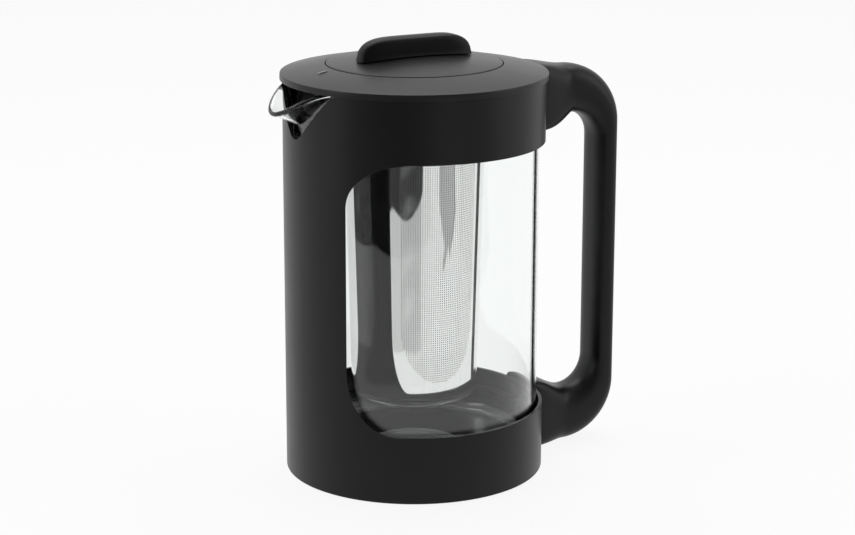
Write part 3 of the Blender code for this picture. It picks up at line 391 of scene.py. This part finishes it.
def casing_shape():
    half = casing_columns()
    columns = [(-along, low, high, top, window) for along, low, high, top, window in half[-2:0:-1]] + half
    foot_centre = (casing_radius - casing_foot_radius, casing_foot_z + casing_foot_radius)
    foot = arc(foot_centre, casing_foot_radius, 0, -90, 5)
    under_floor = [*foot, (pad_hole_radius, casing_foot_z), (pad_hole_radius, floor_underside)]
    corner = (casing_inner_radius - floor_corner_radius, floor_top + floor_corner_radius)
    over_floor = arc(corner, floor_corner_radius, -90, 0, 4)
    shape = bmesh.new()
    rounded = shape.edges.layers.float.new("bevel_weight_edge")
    lines = []
    for along, low, high, top, window in columns:
        turn = pi - along / casing_radius
        mirror = 1 if along >= 0 else -1
        pulled = pi - mirror * window_pull(abs(along) / casing_radius)
        inner_edges = around([(casing_inner_radius, z) for z in (low, high)], pulled)
        chains = {
            "bottom": around(under_floor, turn),
            "outer": around([(casing_radius, z) for z in (low, high, top)], turn),
            "inner": inner_edges + around([(casing_inner_radius, top)], turn),
            "floor": around(over_floor, turn),
        }
        line = {name: [shape.verts.new(point) for point in chain] for name, chain in chains.items()}
        line["window"] = window
        lines.append(line)
    under_centre = shape.verts.new((0, 0, floor_underside))
    over_centre = shape.verts.new((0, 0, floor_top))

    def join(chain_here, chain_next):
        for here, after in zip(zip(chain_here, chain_here[1:]), zip(chain_next, chain_next[1:])):
            shape.faces.new((*here, *reversed(after)))

    def round_off(*pairs):
        for pair in pairs:
            shape.edges.get(pair)[rounded] = 1.0

    for index, here in enumerate(lines):
        after = lines[(index + 1) % len(lines)]
        (low_out, high_out, top_out), (low_in, high_in, top_in) = here["outer"], here["inner"]
        (low_out2, high_out2, top_out2), (low_in2, high_in2, top_in2) = after["outer"], after["inner"]
        join([low_out] + here["bottom"], [low_out2] + after["bottom"])
        join(here["floor"] + [low_in], after["floor"] + [low_in2])
        shape.faces.new((here["bottom"][-1], after["bottom"][-1], under_centre))
        shape.faces.new((here["floor"][0], after["floor"][0], over_centre))
        join([high_out, top_out], [high_out2, top_out2])
        join([high_in, top_in], [high_in2, top_in2])
        join([top_out, top_in], [top_out2, top_in2])
        round_off((top_out, top_out2), (top_in, top_in2))
        if here["window"] and after["window"]:
            join([low_out, low_in], [low_out2, low_in2])
            join([high_out, high_in], [high_out2, high_in2])
            round_off((low_out, low_out2), (low_in, low_in2), (high_out, high_out2), (high_in, high_in2))
        else:
            join([low_out, high_out], [low_out2, high_out2])
            join([low_in, high_in], [low_in2, high_in2])
        if here["window"] != after["window"]:
            side = here if here["window"] else after
            (low_o, high_o, _), (low_i, high_i, _) = side["outer"], side["inner"]
            shape.faces.new((low_o, high_o, high_i, low_i))
            round_off((low_o, high_o), (low_i, high_i))
    return shape


black_plastic = plastic_finish("black_satin_plastic", (0.0045, 0.0045, 0.0048), 0.36, 2600.0, 0.00004)
casing = add_piece("casing_shell", casing_shape(), black_plastic)
casing_bevel = casing.modifiers.new("edge_rounding", "BEVEL")
casing_bevel.limit_method = "WEIGHT"
casing_bevel.width = casing_edge_rounding
casing_bevel.segments = 3
applied(casing)
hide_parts("casing")
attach(casing, "jug")

# Handle: a loop of the same plastic, screwed to the collar and to the base ring.
# Its arms flare into their roots, and its section is a flattened oval with nearly flat sides.
handle_top = 0.1783
handle_foot = 0.0003
handle_reach = 0.1024
handle_width = 0.0196
handle_root_width = 0.0245
grip_depth = 0.0108
handle_outer_corner = 0.0262
handle_inner_corner = 0.0139
top_arm_under = handle_top - 0.0223
top_rise = 0.0021
bottom_arm_over = handle_foot + 0.0256
top_root = 0.1496
bottom_root = 0.0327
grip_section_power = 2.7
root_section_power = 7.0


def skin(shape, rings):
    """Joins rings of points into a tube with closed ends."""
    loops = [[shape.verts.new(point) for point in ring] for ring in rings]
    for lower, upper in zip(loops, loops[1:]):
        for here in range(len(lower)):
            after = (here + 1) % len(lower)
            shape.faces.new((lower[here], lower[after], upper[after], upper[here]))
    shape.faces.new(loops[0])
    shape.faces.new(loops[-1])


def smoothstep(share):
    held = min(max(share, 0.0), 1.0)
    return held * held * (3 - 2 * held)


def superellipse(turn, power):
    """A point of the unit curve |a|^power + |b|^power = 1."""
    across = abs(cos(turn)) ** (2 / power) * (1 if cos(turn) >= 0 else -1)
    along = abs(sin(turn)) ** (2 / power) * (1 if sin(turn) >= 0 else -1)
    return across, along


def handle_rings(arm_steps=24, corner_steps=20, section_steps=64):
    grip_inner = handle_reach - grip_depth
    outer_x = handle_reach - handle_outer_corner
    inner_x = grip_inner - handle_inner_corner

    def arm(outer_z, rise, root_z, inner_z, swell):
        pairs = []
        for step in range(arm_steps):
            share = step / arm_steps
            x_out = casing_inner_radius + (outer_x - casing_inner_radius) * share
            x_in = casing_inner_radius + (inner_x - casing_inner_radius) * share
            rise_share = 1 - smoothstep((x_out - casing_radius) / (outer_x - casing_radius))
            reach_share = max((x_in - casing_radius) / (inner_x - casing_radius), 0.0)
            outer = (x_out, outer_z + rise * rise_share)
            pairs.append((outer, (x_in, root_z + (inner_z - root_z) * swell(reach_share))))
        return pairs

    top_outer = arc((outer_x, handle_top - handle_outer_corner), handle_outer_corner, 90, 0, corner_steps)
    top_inner = arc((inner_x, top_arm_under - handle_inner_corner), handle_inner_corner, 90, 0, corner_steps)
    low_outer = arc((outer_x, handle_foot + handle_outer_corner), handle_outer_corner, 0, -90, corner_steps)
    low_centre = (inner_x, bottom_arm_over + handle_inner_corner)
    low_inner = arc(low_centre, handle_inner_corner, 0, -90, corner_steps)
    pairs = arm(handle_top, top_rise, top_root, top_arm_under, lambda share: share**2.7)
    pairs += list(zip(top_outer, top_inner)) + list(zip(low_outer, low_inner))
    pairs += arm(handle_foot, 0, bottom_root, bottom_arm_over, smoothstep)[::-1]
    rings = []
    for outer, inner in pairs:
        outer, inner = Vector(outer), Vector(inner)
        middle, deep = (outer + inner) / 2, (outer - inner) / 2
        root_share = 1 - smoothstep((inner.x - casing_radius) / (inner_x - casing_radius))
        power = grip_section_power + (root_section_power - grip_section_power) * root_share
        width = handle_width + (handle_root_width - handle_width) * root_share
        ring = []
        for step in range(section_steps):
            across, along = superellipse(tau * step / section_steps, power)
            point = middle + deep * across
            ring.append((point.x, along * width / 2, point.y))
        rings.append(ring)
    return rings


handle_shape = bmesh.new()
skin(handle_shape, handle_rings())
handle = add_piece("handle_loop", handle_shape, black_plastic)
lid_sweep = (0.0594, handle_top - 0.0007)
root_cut = [(0, -0.01), (casing_radius + fit_gap, -0.01), (casing_radius + fit_gap, lid_sweep[1])]
root_cut += [lid_sweep, (lid_sweep[0], 0.19), (0, 0.19)]
carve(handle, add_piece("root_cut", turned(root_cut, 256), black_plastic))
handle.data.shade_smooth()
handle.data.set_sharp_from_angle(angle=radians(32))
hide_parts("handle")
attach(handle, "jug")

# Four countersunk steel screws, driven from inside the casing into the handle's roots.
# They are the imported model's own solids, with a plated steel finish.
screw_steel = bpy.data.materials.new("plated_screw_steel")
screw_steel.use_nodes = True
screw_shader = screw_steel.node_tree.nodes["Principled BSDF"]
screw_wire = Wire(screw_steel.node_tree)
screw_place = screw_wire.node("ShaderNodeTexCoord", {}, {}, output="Object")
screw_sockets = {"Vector": screw_place, "Scale": 900.0, "Detail": 2.0}
screw_noise = screw_wire.node("ShaderNodeTexNoise", {}, screw_sockets)
screw_colour = screw_noise.mixed((0.4, 0.4, 0.41, 1), (0.52, 0.52, 0.51, 1))
screw_steel.node_tree.links.new(screw_colour.socket, screw_shader.inputs["Base Color"])
screw_steel.node_tree.links.new((0.25 + 0.2 * screw_noise).socket, screw_shader.inputs["Roughness"])
screw_shader.inputs["Metallic"].default_value = 1.0
handle_screws = ["handle_screw_1", "handle_screw_2", "handle_screw_3", "handle_screw_4"]
for screw in handle_screws + ["grip_screw_1", "grip_screw_2"]:
    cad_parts[screw].data.materials.clear()
    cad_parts[screw].data.materials.append(screw_steel)


# Silicone parts of the jug: the anti-slip pad under the base, and the cushion that the glass stands on.
# The pad has moulded rings to grip with, and the cushion is light grey and soft-edged.
def rounded(corners, steps=4):
    """Turns (r, z, rounding) corners into an outline whose corners are rounded."""
    outline = []
    for index, (r, z, rounding) in enumerate(corners):
        here = Vector((r, z))
        if not rounding:
            outline.append((r, z))
            continue
        before = Vector(corners[index - 1][:2])
        after = Vector(corners[(index + 1) % len(corners)][:2])
        reach_in = min(rounding, (before - here).length / 2)
        reach_out = min(rounding, (after - here).length / 2)
        start = here + (before - here).normalized() * reach_in
        end = here + (after - here).normalized() * reach_out
        for step in range(steps + 1):
            share = step / steps
            point = start.lerp(here, share).lerp(here.lerp(end, share), share)
            outline.append((point.x, point.y))
    return outline


def silicone_finish(name, colour, speckle):
    """Matt silicone rubber with a faint dusty mottle and a very fine moulded grain."""
    made = bpy.data.materials.new(name)
    made.use_nodes = True
    shader = made.node_tree.nodes["Principled BSDF"]
    wire = Wire(made.node_tree)
    place = wire.node("ShaderNodeTexCoord", {}, {}, output="Object")
    fine = wire.node("ShaderNodeTexNoise", {}, {"Vector": place, "Scale": 1700.0, "Detail": 2.0})
    broad = wire.node("ShaderNodeTexNoise", {}, {"Vector": place, "Scale": 90.0, "Detail": 3.0})
    darker = (*(part * (1 - speckle) for part in colour), 1)
    lighter = (*(part * (1 + speckle) for part in colour), 1)
    mottle = broad.between(0.3, 0.7).mixed(darker, lighter)
    made.node_tree.links.new(mottle.socket, shader.inputs["Base Color"])
    made.node_tree.links.new((0.5 + 0.2 * fine).socket, shader.inputs["Roughness"])
    bump = wire.node("ShaderNodeBump", {}, {"Height": fine, "Strength": 0.3, "Distance": 0.00005})
    made.node_tree.links.new(bump.socket, shader.inputs["Normal"])
    return made


dark_silicone = silicone_finish("dark_silicone", (0.028, 0.028, 0.029), 0.15)
grey_silicone = silicone_finish("grey_silicone", (0.62, 0.62, 0.61), 0.06)
pad_radius = 0.044
pad_thickness = 0.0014
pad_groove_depth = 0.0004
pad_corners = [(0, 0, 0), (0.0120, 0, 0)]
for groove in (0.014, 0.020, 0.026, 0.032, 0.038):
    pad_corners += [(groove - 0.0008, 0, 0), (groove - 0.0005, pad_groove_depth, 0)]
    pad_corners += [(groove + 0.0005, pad_groove_depth, 0), (groove + 0.0008, 0, 0)]
pad_corners += [(pad_radius, 0, 0.0005), (pad_radius, pad_thickness, 0.0002), (0, pad_thickness, 0)]
pad = add_piece("anti_slip_pad", turned(rounded(pad_corners)), dark_silicone)
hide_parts("base_pad")
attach(pad, "jug")

cushion_radius = 0.0218
cushion_bottom = 0.0045
cushion_top = 0.0065
cushion_corners = [
    (0, cushion_bottom, 0),
    (cushion_radius, cushion_bottom, 0.0006),
    (cushion_radius, cushion_top, 0.0008),
    (0.0185, cushion_top, 0.0003),
    (0.0182, cushion_top - 0.0005, 0.0003),
    (0.0172, cushion_top - 0.0005, 0.0003),
    (0.0169, cushion_top, 0.0003),
    (0, cushion_top, 0),
]
cushion = add_piece("glass_cushion_disc", turned(rounded(cushion_corners)), grey_silicone)
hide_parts("glass_cushion")
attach(cushion, "jug")

# Two black gaskets that hold the glass in the casing, one inside the collar and one inside the base ring.
# Each is a moulded band with rounded edges.
glass_radius = 0.0553
gasket_height = 0.0028
for name, node, bottom in (
    ("collar_gasket_band", "collar_gasket", 0.1514),
    ("base_gasket_band", "base_gasket", 0.0197),
):
    inner, outer = glass_radius + fit_gap, casing_inner_radius - fit_gap
    gasket_corners = [
        (inner, bottom, 0.0002),
        (outer, bottom, 0.0002),
        (outer, bottom + gasket_height, 0.0002),
        (inner, bottom + gasket_height, 0.0002),
    ]
    gasket = add_piece(name, turned(rounded(gasket_corners)), dark_silicone)
    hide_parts(node)
    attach(gasket, "jug")

# Glass beaker, blown in a mould from clear borosilicate glass, with a thick floor and a fire-polished rim.
# The spout is pressed out of the rim: it reaches over the notch of the collar and droops to its lip.
glass_wall = 0.002
glass_bottom = 0.0068
glass_floor = 0.0105
glass_rim = 0.1783
glass_inner_radius = glass_radius - glass_wall
glass_outer_corner = 0.007
glass_inner_corner = 0.0055
spout_reach = 0.0137
spout_droop = 0.0098
spout_depth = 0.0215
spout_half_width = 0.0256
spout_throat_power = 2.5
spout_droop_power = 1.6


def glass_wall_point(along, share):
    """A point midway through the glass wall: share runs from below the trough's foot to the rim."""
    width_share = min(abs(along) / spout_half_width, 1.0)
    bell = 0.5 + 0.5 * cos(pi * width_share)
    trough_start = glass_rim - spout_depth * (1 - width_share)
    rim = glass_rim - glass_wall / 2 - spout_droop * bell**spout_droop_power
    foot = glass_rim - spout_depth - glass_wall
    height = foot + (rim - foot) * share
    climb = max(height - trough_start, 0.0) / max(rim - trough_start, glass_wall)
    radius = glass_radius - glass_wall / 2 + spout_reach * bell * min(climb, 1.0) ** spout_throat_power
    turn = pi - along / glass_radius
    return Vector((radius * cos(turn), radius * sin(turn), height))


def glass_normal(along, share):
    """The outward direction of the glass wall, from points close by."""
    side = glass_wall_point(along + 1e-4, share) - glass_wall_point(along - 1e-4, share)
    up = glass_wall_point(along, min(share + 0.01, 1.0)) - glass_wall_point(along, share - 0.01)
    return up.cross(side).normalized()


def glass_shape(wall_steps=30, spout_columns=32, plain_columns=64):
    half = [spout_half_width * step / spout_columns for step in range(spout_columns + 1)]
    rest = pi * glass_radius - spout_half_width
    half += [spout_half_width + rest * step / plain_columns for step in range(1, plain_columns + 1)]
    alongs = [-along for along in half[-2:0:-1]] + half
    corner = (glass_radius - glass_outer_corner, glass_bottom + glass_outer_corner)
    outer_floor = arc(corner, glass_outer_corner, -90, 0, 12)
    corner = (glass_inner_radius - glass_inner_corner, glass_floor + glass_inner_corner)
    inner_floor = arc(corner, glass_inner_corner, 0, -90, 12)
    shape = bmesh.new()
    lines = []
    for along in alongs:
        turn = pi - along / glass_radius
        shares = [step / wall_steps for step in range(wall_steps + 1)]
        middle = [glass_wall_point(along, share) for share in shares]
        normals = [glass_normal(along, share) for share in shares]
        outer = [point + normal * glass_wall / 2 for point, normal in zip(middle, normals)]
        inner = [point - normal * glass_wall / 2 for point, normal in zip(middle, normals)]
        climb = (middle[-1] - middle[-2]).normalized()
        lip = []
        for lip_turn in (22.5, 45, 67.5, 90, 112.5, 135, 157.5):
            way = normals[-1] * cos(radians(lip_turn)) + climb * sin(radians(lip_turn))
            lip.append(middle[-1] + way * glass_wall / 2)
        chain = around(outer_floor, turn) + outer + lip + inner[::-1] + around(inner_floor, turn)
        lines.append([shape.verts.new(point) for point in chain])
    under_centre = shape.verts.new((0, 0, glass_bottom))
    over_centre = shape.verts.new((0, 0, glass_floor))
    for index, here in enumerate(lines):
        after = lines[(index + 1) % len(lines)]
        for low, high, low2, high2 in zip(here, here[1:], after, after[1:]):
            shape.faces.new((low, high, high2, low2))
        shape.faces.new((here[0], after[0], under_centre))
        shape.faces.new((here[-1], after[-1], over_centre))
    return shape


clear_glass = bpy.data.materials.new("clear_glass")
clear_glass.use_nodes = True
glass_shader = clear_glass.node_tree.nodes["Principled BSDF"]
glass_shader.inputs["Base Color"].default_value = (0.97, 0.985, 0.98, 1)
glass_shader.inputs["Roughness"].default_value = 0.0
glass_shader.inputs["Transmission Weight"].default_value = 1.0
glass_shader.inputs["IOR"].default_value = 1.47
glass = add_piece("beaker_glass", glass_shape(), clear_glass, sharp=80)
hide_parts("glass_beaker")
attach(glass, "jug")

# Seal round the lid's skirt: a soft grey silicone ring with two lips that wipe the inside of the glass.
# It sits in a groove of the skirt, and the lid turns in it.
skirt_radius = 0.0518
seal_bottom = 0.1513
seal_height = 0.0036


def seal_outline(groove_radius, wall_radius, bottom, height):
    """A seal with two rounded lips, from its groove to just short of the wall that it wipes."""
    waist = wall_radius - (wall_radius - groove_radius) * 0.25
    lips = [
        (waist, bottom, 0.0002),
        (wall_radius, bottom + 0.3 * height, 0.0004),
        (waist, bottom + 0.5 * height, 0.0003),
        (wall_radius, bottom + 0.8 * height, 0.0004),
        (waist, bottom + height, 0.0002),
    ]
    return rounded([(groove_radius, bottom, 0.0001), *lips, (groove_radius, bottom + height, 0.0001)])


lid_seal_profile = seal_outline(skirt_radius - 0.0007, glass_inner_radius - fit_gap, seal_bottom, seal_height)
lid_seal = add_piece("lid_seal_ring", turned(lid_seal_profile), grey_silicone)
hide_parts("lid_seal")
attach(lid_seal, "lid_seal")

# Lid ring, moulded from black plastic with a fine matt grain on its sloping top.
# A skirt below it plugs the glass and has the pour opening, a hub carries the infuser, and a small raised
# line on top points to the spout. Its edge hangs a little over the collar's.
lid_radius = 0.0591
lid_underside = 0.1786
lid_drip_edge = 0.1779
lid_edge_top = 0.1806
seam_radius = 0.0392
seam_top = 0.1847
lid_plate = 0.0022
skirt_inner_radius = 0.0494
skirt_bottom = 0.1495
hub_bore = 0.0342
hub_well = 0.0366
hub_seat = 0.1777
hub_bottom = 0.1701
hub_wall = 0.002
cap_ledge = 0.182
pour_width = 0.034
pour_bottom, pour_top = 0.1656, 0.1756
mark_inner, mark_outer = 0.0425, 0.0467
mark_width = 0.001
mark_rise = 0.0003


def lid_top(radius):
    """Height of the sloping lid ring's top at a radius."""
    return lid_edge_top + (seam_top - lid_edge_top) * (lid_radius - radius) / (lid_radius - seam_radius)


lid_corners = [
    (seam_radius, seam_top - 0.0002, 0.0003),
    (lid_radius - 0.0001, lid_top(lid_radius), 0.0004),
    (lid_radius, lid_drip_edge, 0.0002),
    (casing_radius + fit_gap, lid_drip_edge, 0.0002),
    (casing_radius + fit_gap, lid_underside, 0),
    (skirt_radius, lid_underside, 0.0004),
    (skirt_radius, seal_bottom + seal_height + fit_gap, 0),
    (skirt_radius - 0.001, seal_bottom + seal_height + fit_gap, 0),
    (skirt_radius - 0.001, seal_bottom - fit_gap, 0),
    (skirt_radius, seal_bottom - fit_gap, 0),
    (skirt_radius, skirt_bottom, 0.0005),
    (skirt_inner_radius, skirt_bottom, 0.0005),
    (skirt_inner_radius, lid_top(skirt_inner_radius) - lid_plate, 0.0008),
    (seam_radius + hub_wall, lid_top(seam_radius + hub_wall) - lid_plate, 0.0005),
    (hub_well + hub_wall, hub_seat - hub_wall, 0.0005),
    (hub_bore + hub_wall, hub_seat - hub_wall, 0.0004),
    (hub_bore + hub_wall, hub_bottom, 0.0005),
    (hub_bore, hub_bottom, 0.0005),
    (hub_bore, hub_seat, 0.0003),
    (hub_well, hub_seat, 0.0002),
    (hub_well, cap_ledge, 0.0003),
    (seam_radius, cap_ledge, 0.0002),
]


def block(low, high):
    """A box between two corners."""
    shape = bmesh.new()
    bmesh.ops.create_cube(shape, size=1)
    middle, size = (Vector(low) + Vector(high)) / 2, Vector(high) - Vector(low)
    for vert in shape.verts:
        vert.co = middle + Vector(v * s for v, s in zip(vert.co, size))
    return shape


lid_plastic = plastic_finish("matt_lid_plastic", (0.011, 0.011, 0.0115), 0.36, 2100.0, 0.00008)
lid_ring = add_piece("lid_ring_moulding", turned(rounded(lid_corners)), lid_plastic)
pour_low = (-skirt_radius - 0.002, -pour_width / 2, pour_bottom)
pour_high = (-skirt_inner_radius * cos(pour_width / skirt_radius), pour_width / 2, pour_top)
carve(lid_ring, add_piece("pour_cut", block(pour_low, pour_high), lid_plastic))
lid_ring.data.shade_smooth()
lid_ring.data.set_sharp_from_angle(angle=radians(32))
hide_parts("lid_ring")
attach(lid_ring, "lid")

mark_shape = bmesh.new()
mark_rings = []
for step in range(9):
    radius = mark_inner + (mark_outer - mark_inner) * step / 8
    half_width = mark_width / 2
    top = lid_top(radius) + mark_rise * (0.6 if step in (0, 8) else 1.0)
    bottom = lid_top(radius) - 0.0004
    ring = [(-half_width, bottom), (half_width, bottom), (half_width, top - 0.0001), (half_width * 0.6, top)]
    ring += [(-half_width * 0.6, top), (-half_width, top - 0.0001)]
    mark_rings.append([(-radius, across, z) for across, z in ring])
skin(mark_shape, mark_rings)
# The raised line's light grey colour is a painted highlight, standing in for the light that catches its top.
mark_painted_highlight = plastic_finish("painted_highlight_mark_plastic", (0.3, 0.3, 0.3), 0.5, 2100.0, 0.00005)
pointer_mark = add_piece("pointer_mark", mark_shape, mark_painted_highlight)
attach(pointer_mark, "lid")

# Infuser tube: thin stainless steel, rolled to a slight cone, welded and polished, with a rolled lip.
# Fine holes are punched in four fields with rounded lower ends; plain bands are left between them.
tube_top_radius = 0.0316
tube_bottom_radius = 0.0282
tube_sheet = 0.0006
tube_top = 0.1805
tube_cone_top = tube_top - 0.0118
tube_bottom = 0.0389
tube_lip_radius = 0.035
cone_slope = (tube_top_radius - tube_bottom_radius) / (tube_cone_top - tube_bottom)
hole_pitch = 0.001
hole_radius = 0.00025
holes_round = 184
field_half_columns = 18.0
field_low = 0.0458
field_full = 0.072
field_high = 0.162
field_turn = -94.0


def steel_finish(name, perforated):
    """Polished stainless steel: faint drawing lines and slow waves in its mirror, with or without holes. With
    holes, the inner face is painted near black as painted shade.
    """
    made = bpy.data.materials.new(name)
    made.use_nodes = True
    tree = made.node_tree
    shader = tree.nodes["Principled BSDF"]
    shader.inputs["Metallic"].default_value = 1.0
    wire = Wire(tree)
    place = wire.node("ShaderNodeTexCoord", {}, {}, output="Object")
    long_scale = wire.node("ShaderNodeVectorMath", {"operation": "MULTIPLY"}, {0: place, 1: (1.0, 1.0, 0.22)})
    wave = wire.node("ShaderNodeTexNoise", {}, {"Vector": long_scale, "Scale": 42.0, "Detail": 1.0})
    line_scale = wire.node("ShaderNodeVectorMath", {"operation": "MULTIPLY"}, {0: place, 1: (1.0, 1.0, 0.02)})
    lines = wire.node("ShaderNodeTexNoise", {}, {"Vector": line_scale, "Scale": 1500.0, "Detail": 2.0})
    polish = lines.mixed((0.80, 0.80, 0.79, 1), (0.90, 0.90, 0.89, 1))
    gloss = 0.015 + 0.03 * lines
    tree.links.new(polish.socket, shader.inputs["Base Color"])
    tree.links.new(gloss.socket, shader.inputs["Roughness"])
    bump = wire.node("ShaderNodeBump", {}, {"Height": wave, "Strength": 0.5, "Distance": 0.0007})
    tree.links.new(bump.socket, shader.inputs["Normal"])
    if perforated:
        parts = wire.node("ShaderNodeSeparateXYZ", {}, {"Vector": place})
        turn = wire.math("ARCTAN2", parts.other("Y"), parts)
        columns = (turn * (1 / tau) - field_turn / 360) * holes_round + holes_round / 8 + holes_round
        rows = parts.other("Z") / hole_pitch
        across = (columns - columns.floor() - 0.5) * hole_pitch
        upward = (rows - rows.floor() - 0.5) * hole_pitch
        in_hole = (across * across + upward * upward).root() < hole_radius
        column = (columns.floor() + 0.5).wrapped(holes_round / 4) - holes_round / 8
        height = (rows.floor() + 0.5) * hole_pitch
        drop = ((field_full - height) / (field_full - field_low)).at_least_zero()
        width = (1 - drop * drop).at_least_zero().root() * field_half_columns
        in_field = (column.size() < width) * (height < field_high)
        tree.links.new((1 - in_hole * in_field).socket, shader.inputs["Alpha"])
        # Painted shade: the tube's inner face gets a near-black colour and more roughness, standing in for the
        # shade inside the tube.
        from_axis = (parts * parts + parts.other("Y") * parts.other("Y")).root()
        sheet_middle = tube_bottom_radius - tube_sheet / 2 + (parts.other("Z") - tube_bottom) * cone_slope
        inside = from_axis < sheet_middle
        tree.links.new(inside.mixed(polish, (0.05, 0.05, 0.05, 1)).socket, shader.inputs["Base Color"])
        tree.links.new((gloss + 0.4 * inside).socket, shader.inputs["Roughness"])
    return made


tube_corners = [
    (tube_bottom_radius, tube_bottom, 0),
    (tube_top_radius, tube_cone_top, 0.002),
    (tube_top_radius, tube_top - tube_sheet, 0.0004),
    (tube_lip_radius, tube_top - tube_sheet, 0.0002),
    (tube_lip_radius, tube_top, 0.0002),
    (tube_top_radius - tube_sheet, tube_top, 0.0008),
    (tube_top_radius - tube_sheet, tube_cone_top, 0.002),
    (tube_bottom_radius - tube_sheet, tube_bottom, 0),
]
perforated_steel = steel_finish("perforated_polished_steel", True)
tube = add_piece("infuser_tube_sheet", turned(rounded(tube_corners)), perforated_steel)
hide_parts("infuser_tube")
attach(tube, "infuser")

# Infuser cup and collar: the cup is pressed from the same sheet and closes the tube's lower end.
# The collar is a turned steel ring that hangs in the lid's hub by its flange.
cup_corner = 0.0042
cup_seam = tube_bottom - fit_gap
cup_bottom = cup_seam - cup_corner
cup_lap_radius = tube_bottom_radius - tube_sheet - fit_gap
cup_flat_radius = tube_bottom_radius - cup_corner
polished_steel = steel_finish("polished_steel", False)
cup_outline = [
    (0, cup_bottom),
    *arc((cup_flat_radius, cup_seam), cup_corner, -90, 0, 12),
    (cup_lap_radius, cup_seam),
    (cup_lap_radius, tube_bottom + 0.004),
    (cup_lap_radius - tube_sheet, tube_bottom + 0.004),
    (cup_lap_radius - tube_sheet, cup_seam),
    *arc((cup_flat_radius, cup_seam), cup_corner - tube_sheet, -24, -90, 8),
    (0, cup_bottom + tube_sheet),
]
cup = add_piece("infuser_cup_pressing", turned(cup_outline), polished_steel)
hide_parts("infuser_cup")
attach(cup, "infuser")

neck_inner, neck_outer = 0.0319, 0.0339
flange_radius = 0.0363
flange_bottom, flange_top = 0.178, 0.1796
neck_bottom = 0.1681
collar_corners = [
    (neck_inner, flange_top, 0.0003),
    (flange_radius, flange_top, 0.0004),
    (flange_radius, flange_bottom, 0.0004),
    (neck_outer, flange_bottom, 0.0002),
    (neck_outer, neck_bottom, 0.0004),
    (neck_inner, neck_bottom, 0.0004),
]
collar = add_piece("infuser_collar_ring", turned(rounded(collar_corners)), polished_steel)
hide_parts("infuser_collar")
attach(collar, "infuser")

# Inner cap with its seal: a gently domed disc of the lid's plastic, which plugs the infuser's mouth.
# A thin seam separates it from the lid ring, and a grey silicone ring seals its skirt.
cap_radius = 0.0388
cap_rise = 0.003
cap_plate = 0.0022
cap_skirt_radius = 0.0303
cap_skirt_inner = 0.0285
cap_skirt_bottom = 0.1735
cap_seal_bottom = cap_skirt_bottom + 0.0015
cap_seal_height = 0.0022


def cap_top(radius):
    """Height of the cap's domed top at a radius."""
    return seam_top + cap_rise * (1 - (radius / cap_radius) ** 2)


cap_hollow = cap_top(cap_skirt_radius) - cap_plate
cap_corners = [(cap_radius * share / 20, cap_top(cap_radius * share / 20), 0) for share in range(20)]
cap_corners += [
    (cap_radius, seam_top, 0.0003),
    (cap_radius, cap_ledge + fit_gap, 0.0003),
    (hub_well - fit_gap, cap_ledge + fit_gap, 0),
    (hub_well - fit_gap, seam_top - cap_plate / 2, 0.0004),
    (cap_skirt_radius, cap_hollow, 0.0008),
    (cap_skirt_radius, cap_seal_bottom + cap_seal_height + fit_gap, 0),
    (cap_skirt_radius - 0.0008, cap_seal_bottom + cap_seal_height + fit_gap, 0),
    (cap_skirt_radius - 0.0008, cap_seal_bottom - fit_gap, 0),
    (cap_skirt_radius, cap_seal_bottom - fit_gap, 0),
    (cap_skirt_radius, cap_skirt_bottom, 0.0004),
    (cap_skirt_inner, cap_skirt_bottom, 0.0004),
    (cap_skirt_inner, cap_hollow, 0.0008),
    (0, cap_hollow, 0),
]
cap = add_piece("inner_cap", turned(rounded(cap_corners)), lid_plastic)
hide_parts("lid_cap")
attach(cap, "cap")

cap_seal_groove = cap_skirt_radius - 0.0005
cap_seal_wall = tube_top_radius - tube_sheet - fit_gap
cap_seal_profile = seal_outline(cap_seal_groove, cap_seal_wall, cap_seal_bottom, cap_seal_height)
cap_seal = add_piece("cap_seal_ring", turned(cap_seal_profile), grey_silicone)
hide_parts("cap_seal")
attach(cap_seal, "cap")

# Grip bar: a solid bar of darker, smoother plastic that stands on the cap, with rounded ends.
# Two screws hold it from under the cap.
grip_length = 0.054
grip_thickness = 0.0102
grip_height = 0.0091
grip_foot_flare = 0.0004


def grip_shape(section_steps=96):
    turns = [tau * step / section_steps for step in range(section_steps)]
    plan = [superellipse(turn, 5.0) for turn in turns]
    rings = []
    for share in (0.25, 0.5, 0.75, 0.9, 1.0):
        ring = [(a * grip_length / 2 * share, b * grip_thickness / 2 * share) for a, b in plan]
        rings.append([(x, y, cap_top(hypot(x, y)) + fit_gap) for x, y in ring])
    foot_length, foot_thickness = grip_length / 2 + grip_foot_flare, grip_thickness / 2 + grip_foot_flare
    foot = [(a * foot_length, b * foot_thickness) for a, b in plan]
    rings.append([(x, y, cap_top(hypot(x, y)) + 0.0006) for x, y in foot])
    shares = [0.1, 0.22, 0.34, 0.45, 0.55, 0.65, 0.74, 0.81, 0.87, 0.915, 0.945, 0.965, 0.98, 0.99]
    for share in shares:
        length = grip_length / 2 * (1 - share**2) ** (1 / 4.5)
        thickness = grip_thickness / 2 * (1 - 0.1 * share) * sqrt(1 - share**9)
        height = cap_top(0) + fit_gap + (grip_height - fit_gap) * share
        rings.append([(a * length, b * thickness, height) for a, b in plan])
    shape = bmesh.new()
    skin(shape, rings)
    return shape


grip_plastic = plastic_finish("dark_grip_plastic", (0.003, 0.003, 0.0032), 0.40, 2600.0, 0.00004)
grip_plastic.node_tree.nodes["Principled BSDF"].inputs["Specular IOR Level"].default_value = 0.14
grip = add_piece("grip_bar", grip_shape(), grip_plastic, sharp=50)
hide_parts("lid_grip")
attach(grip, "cap")
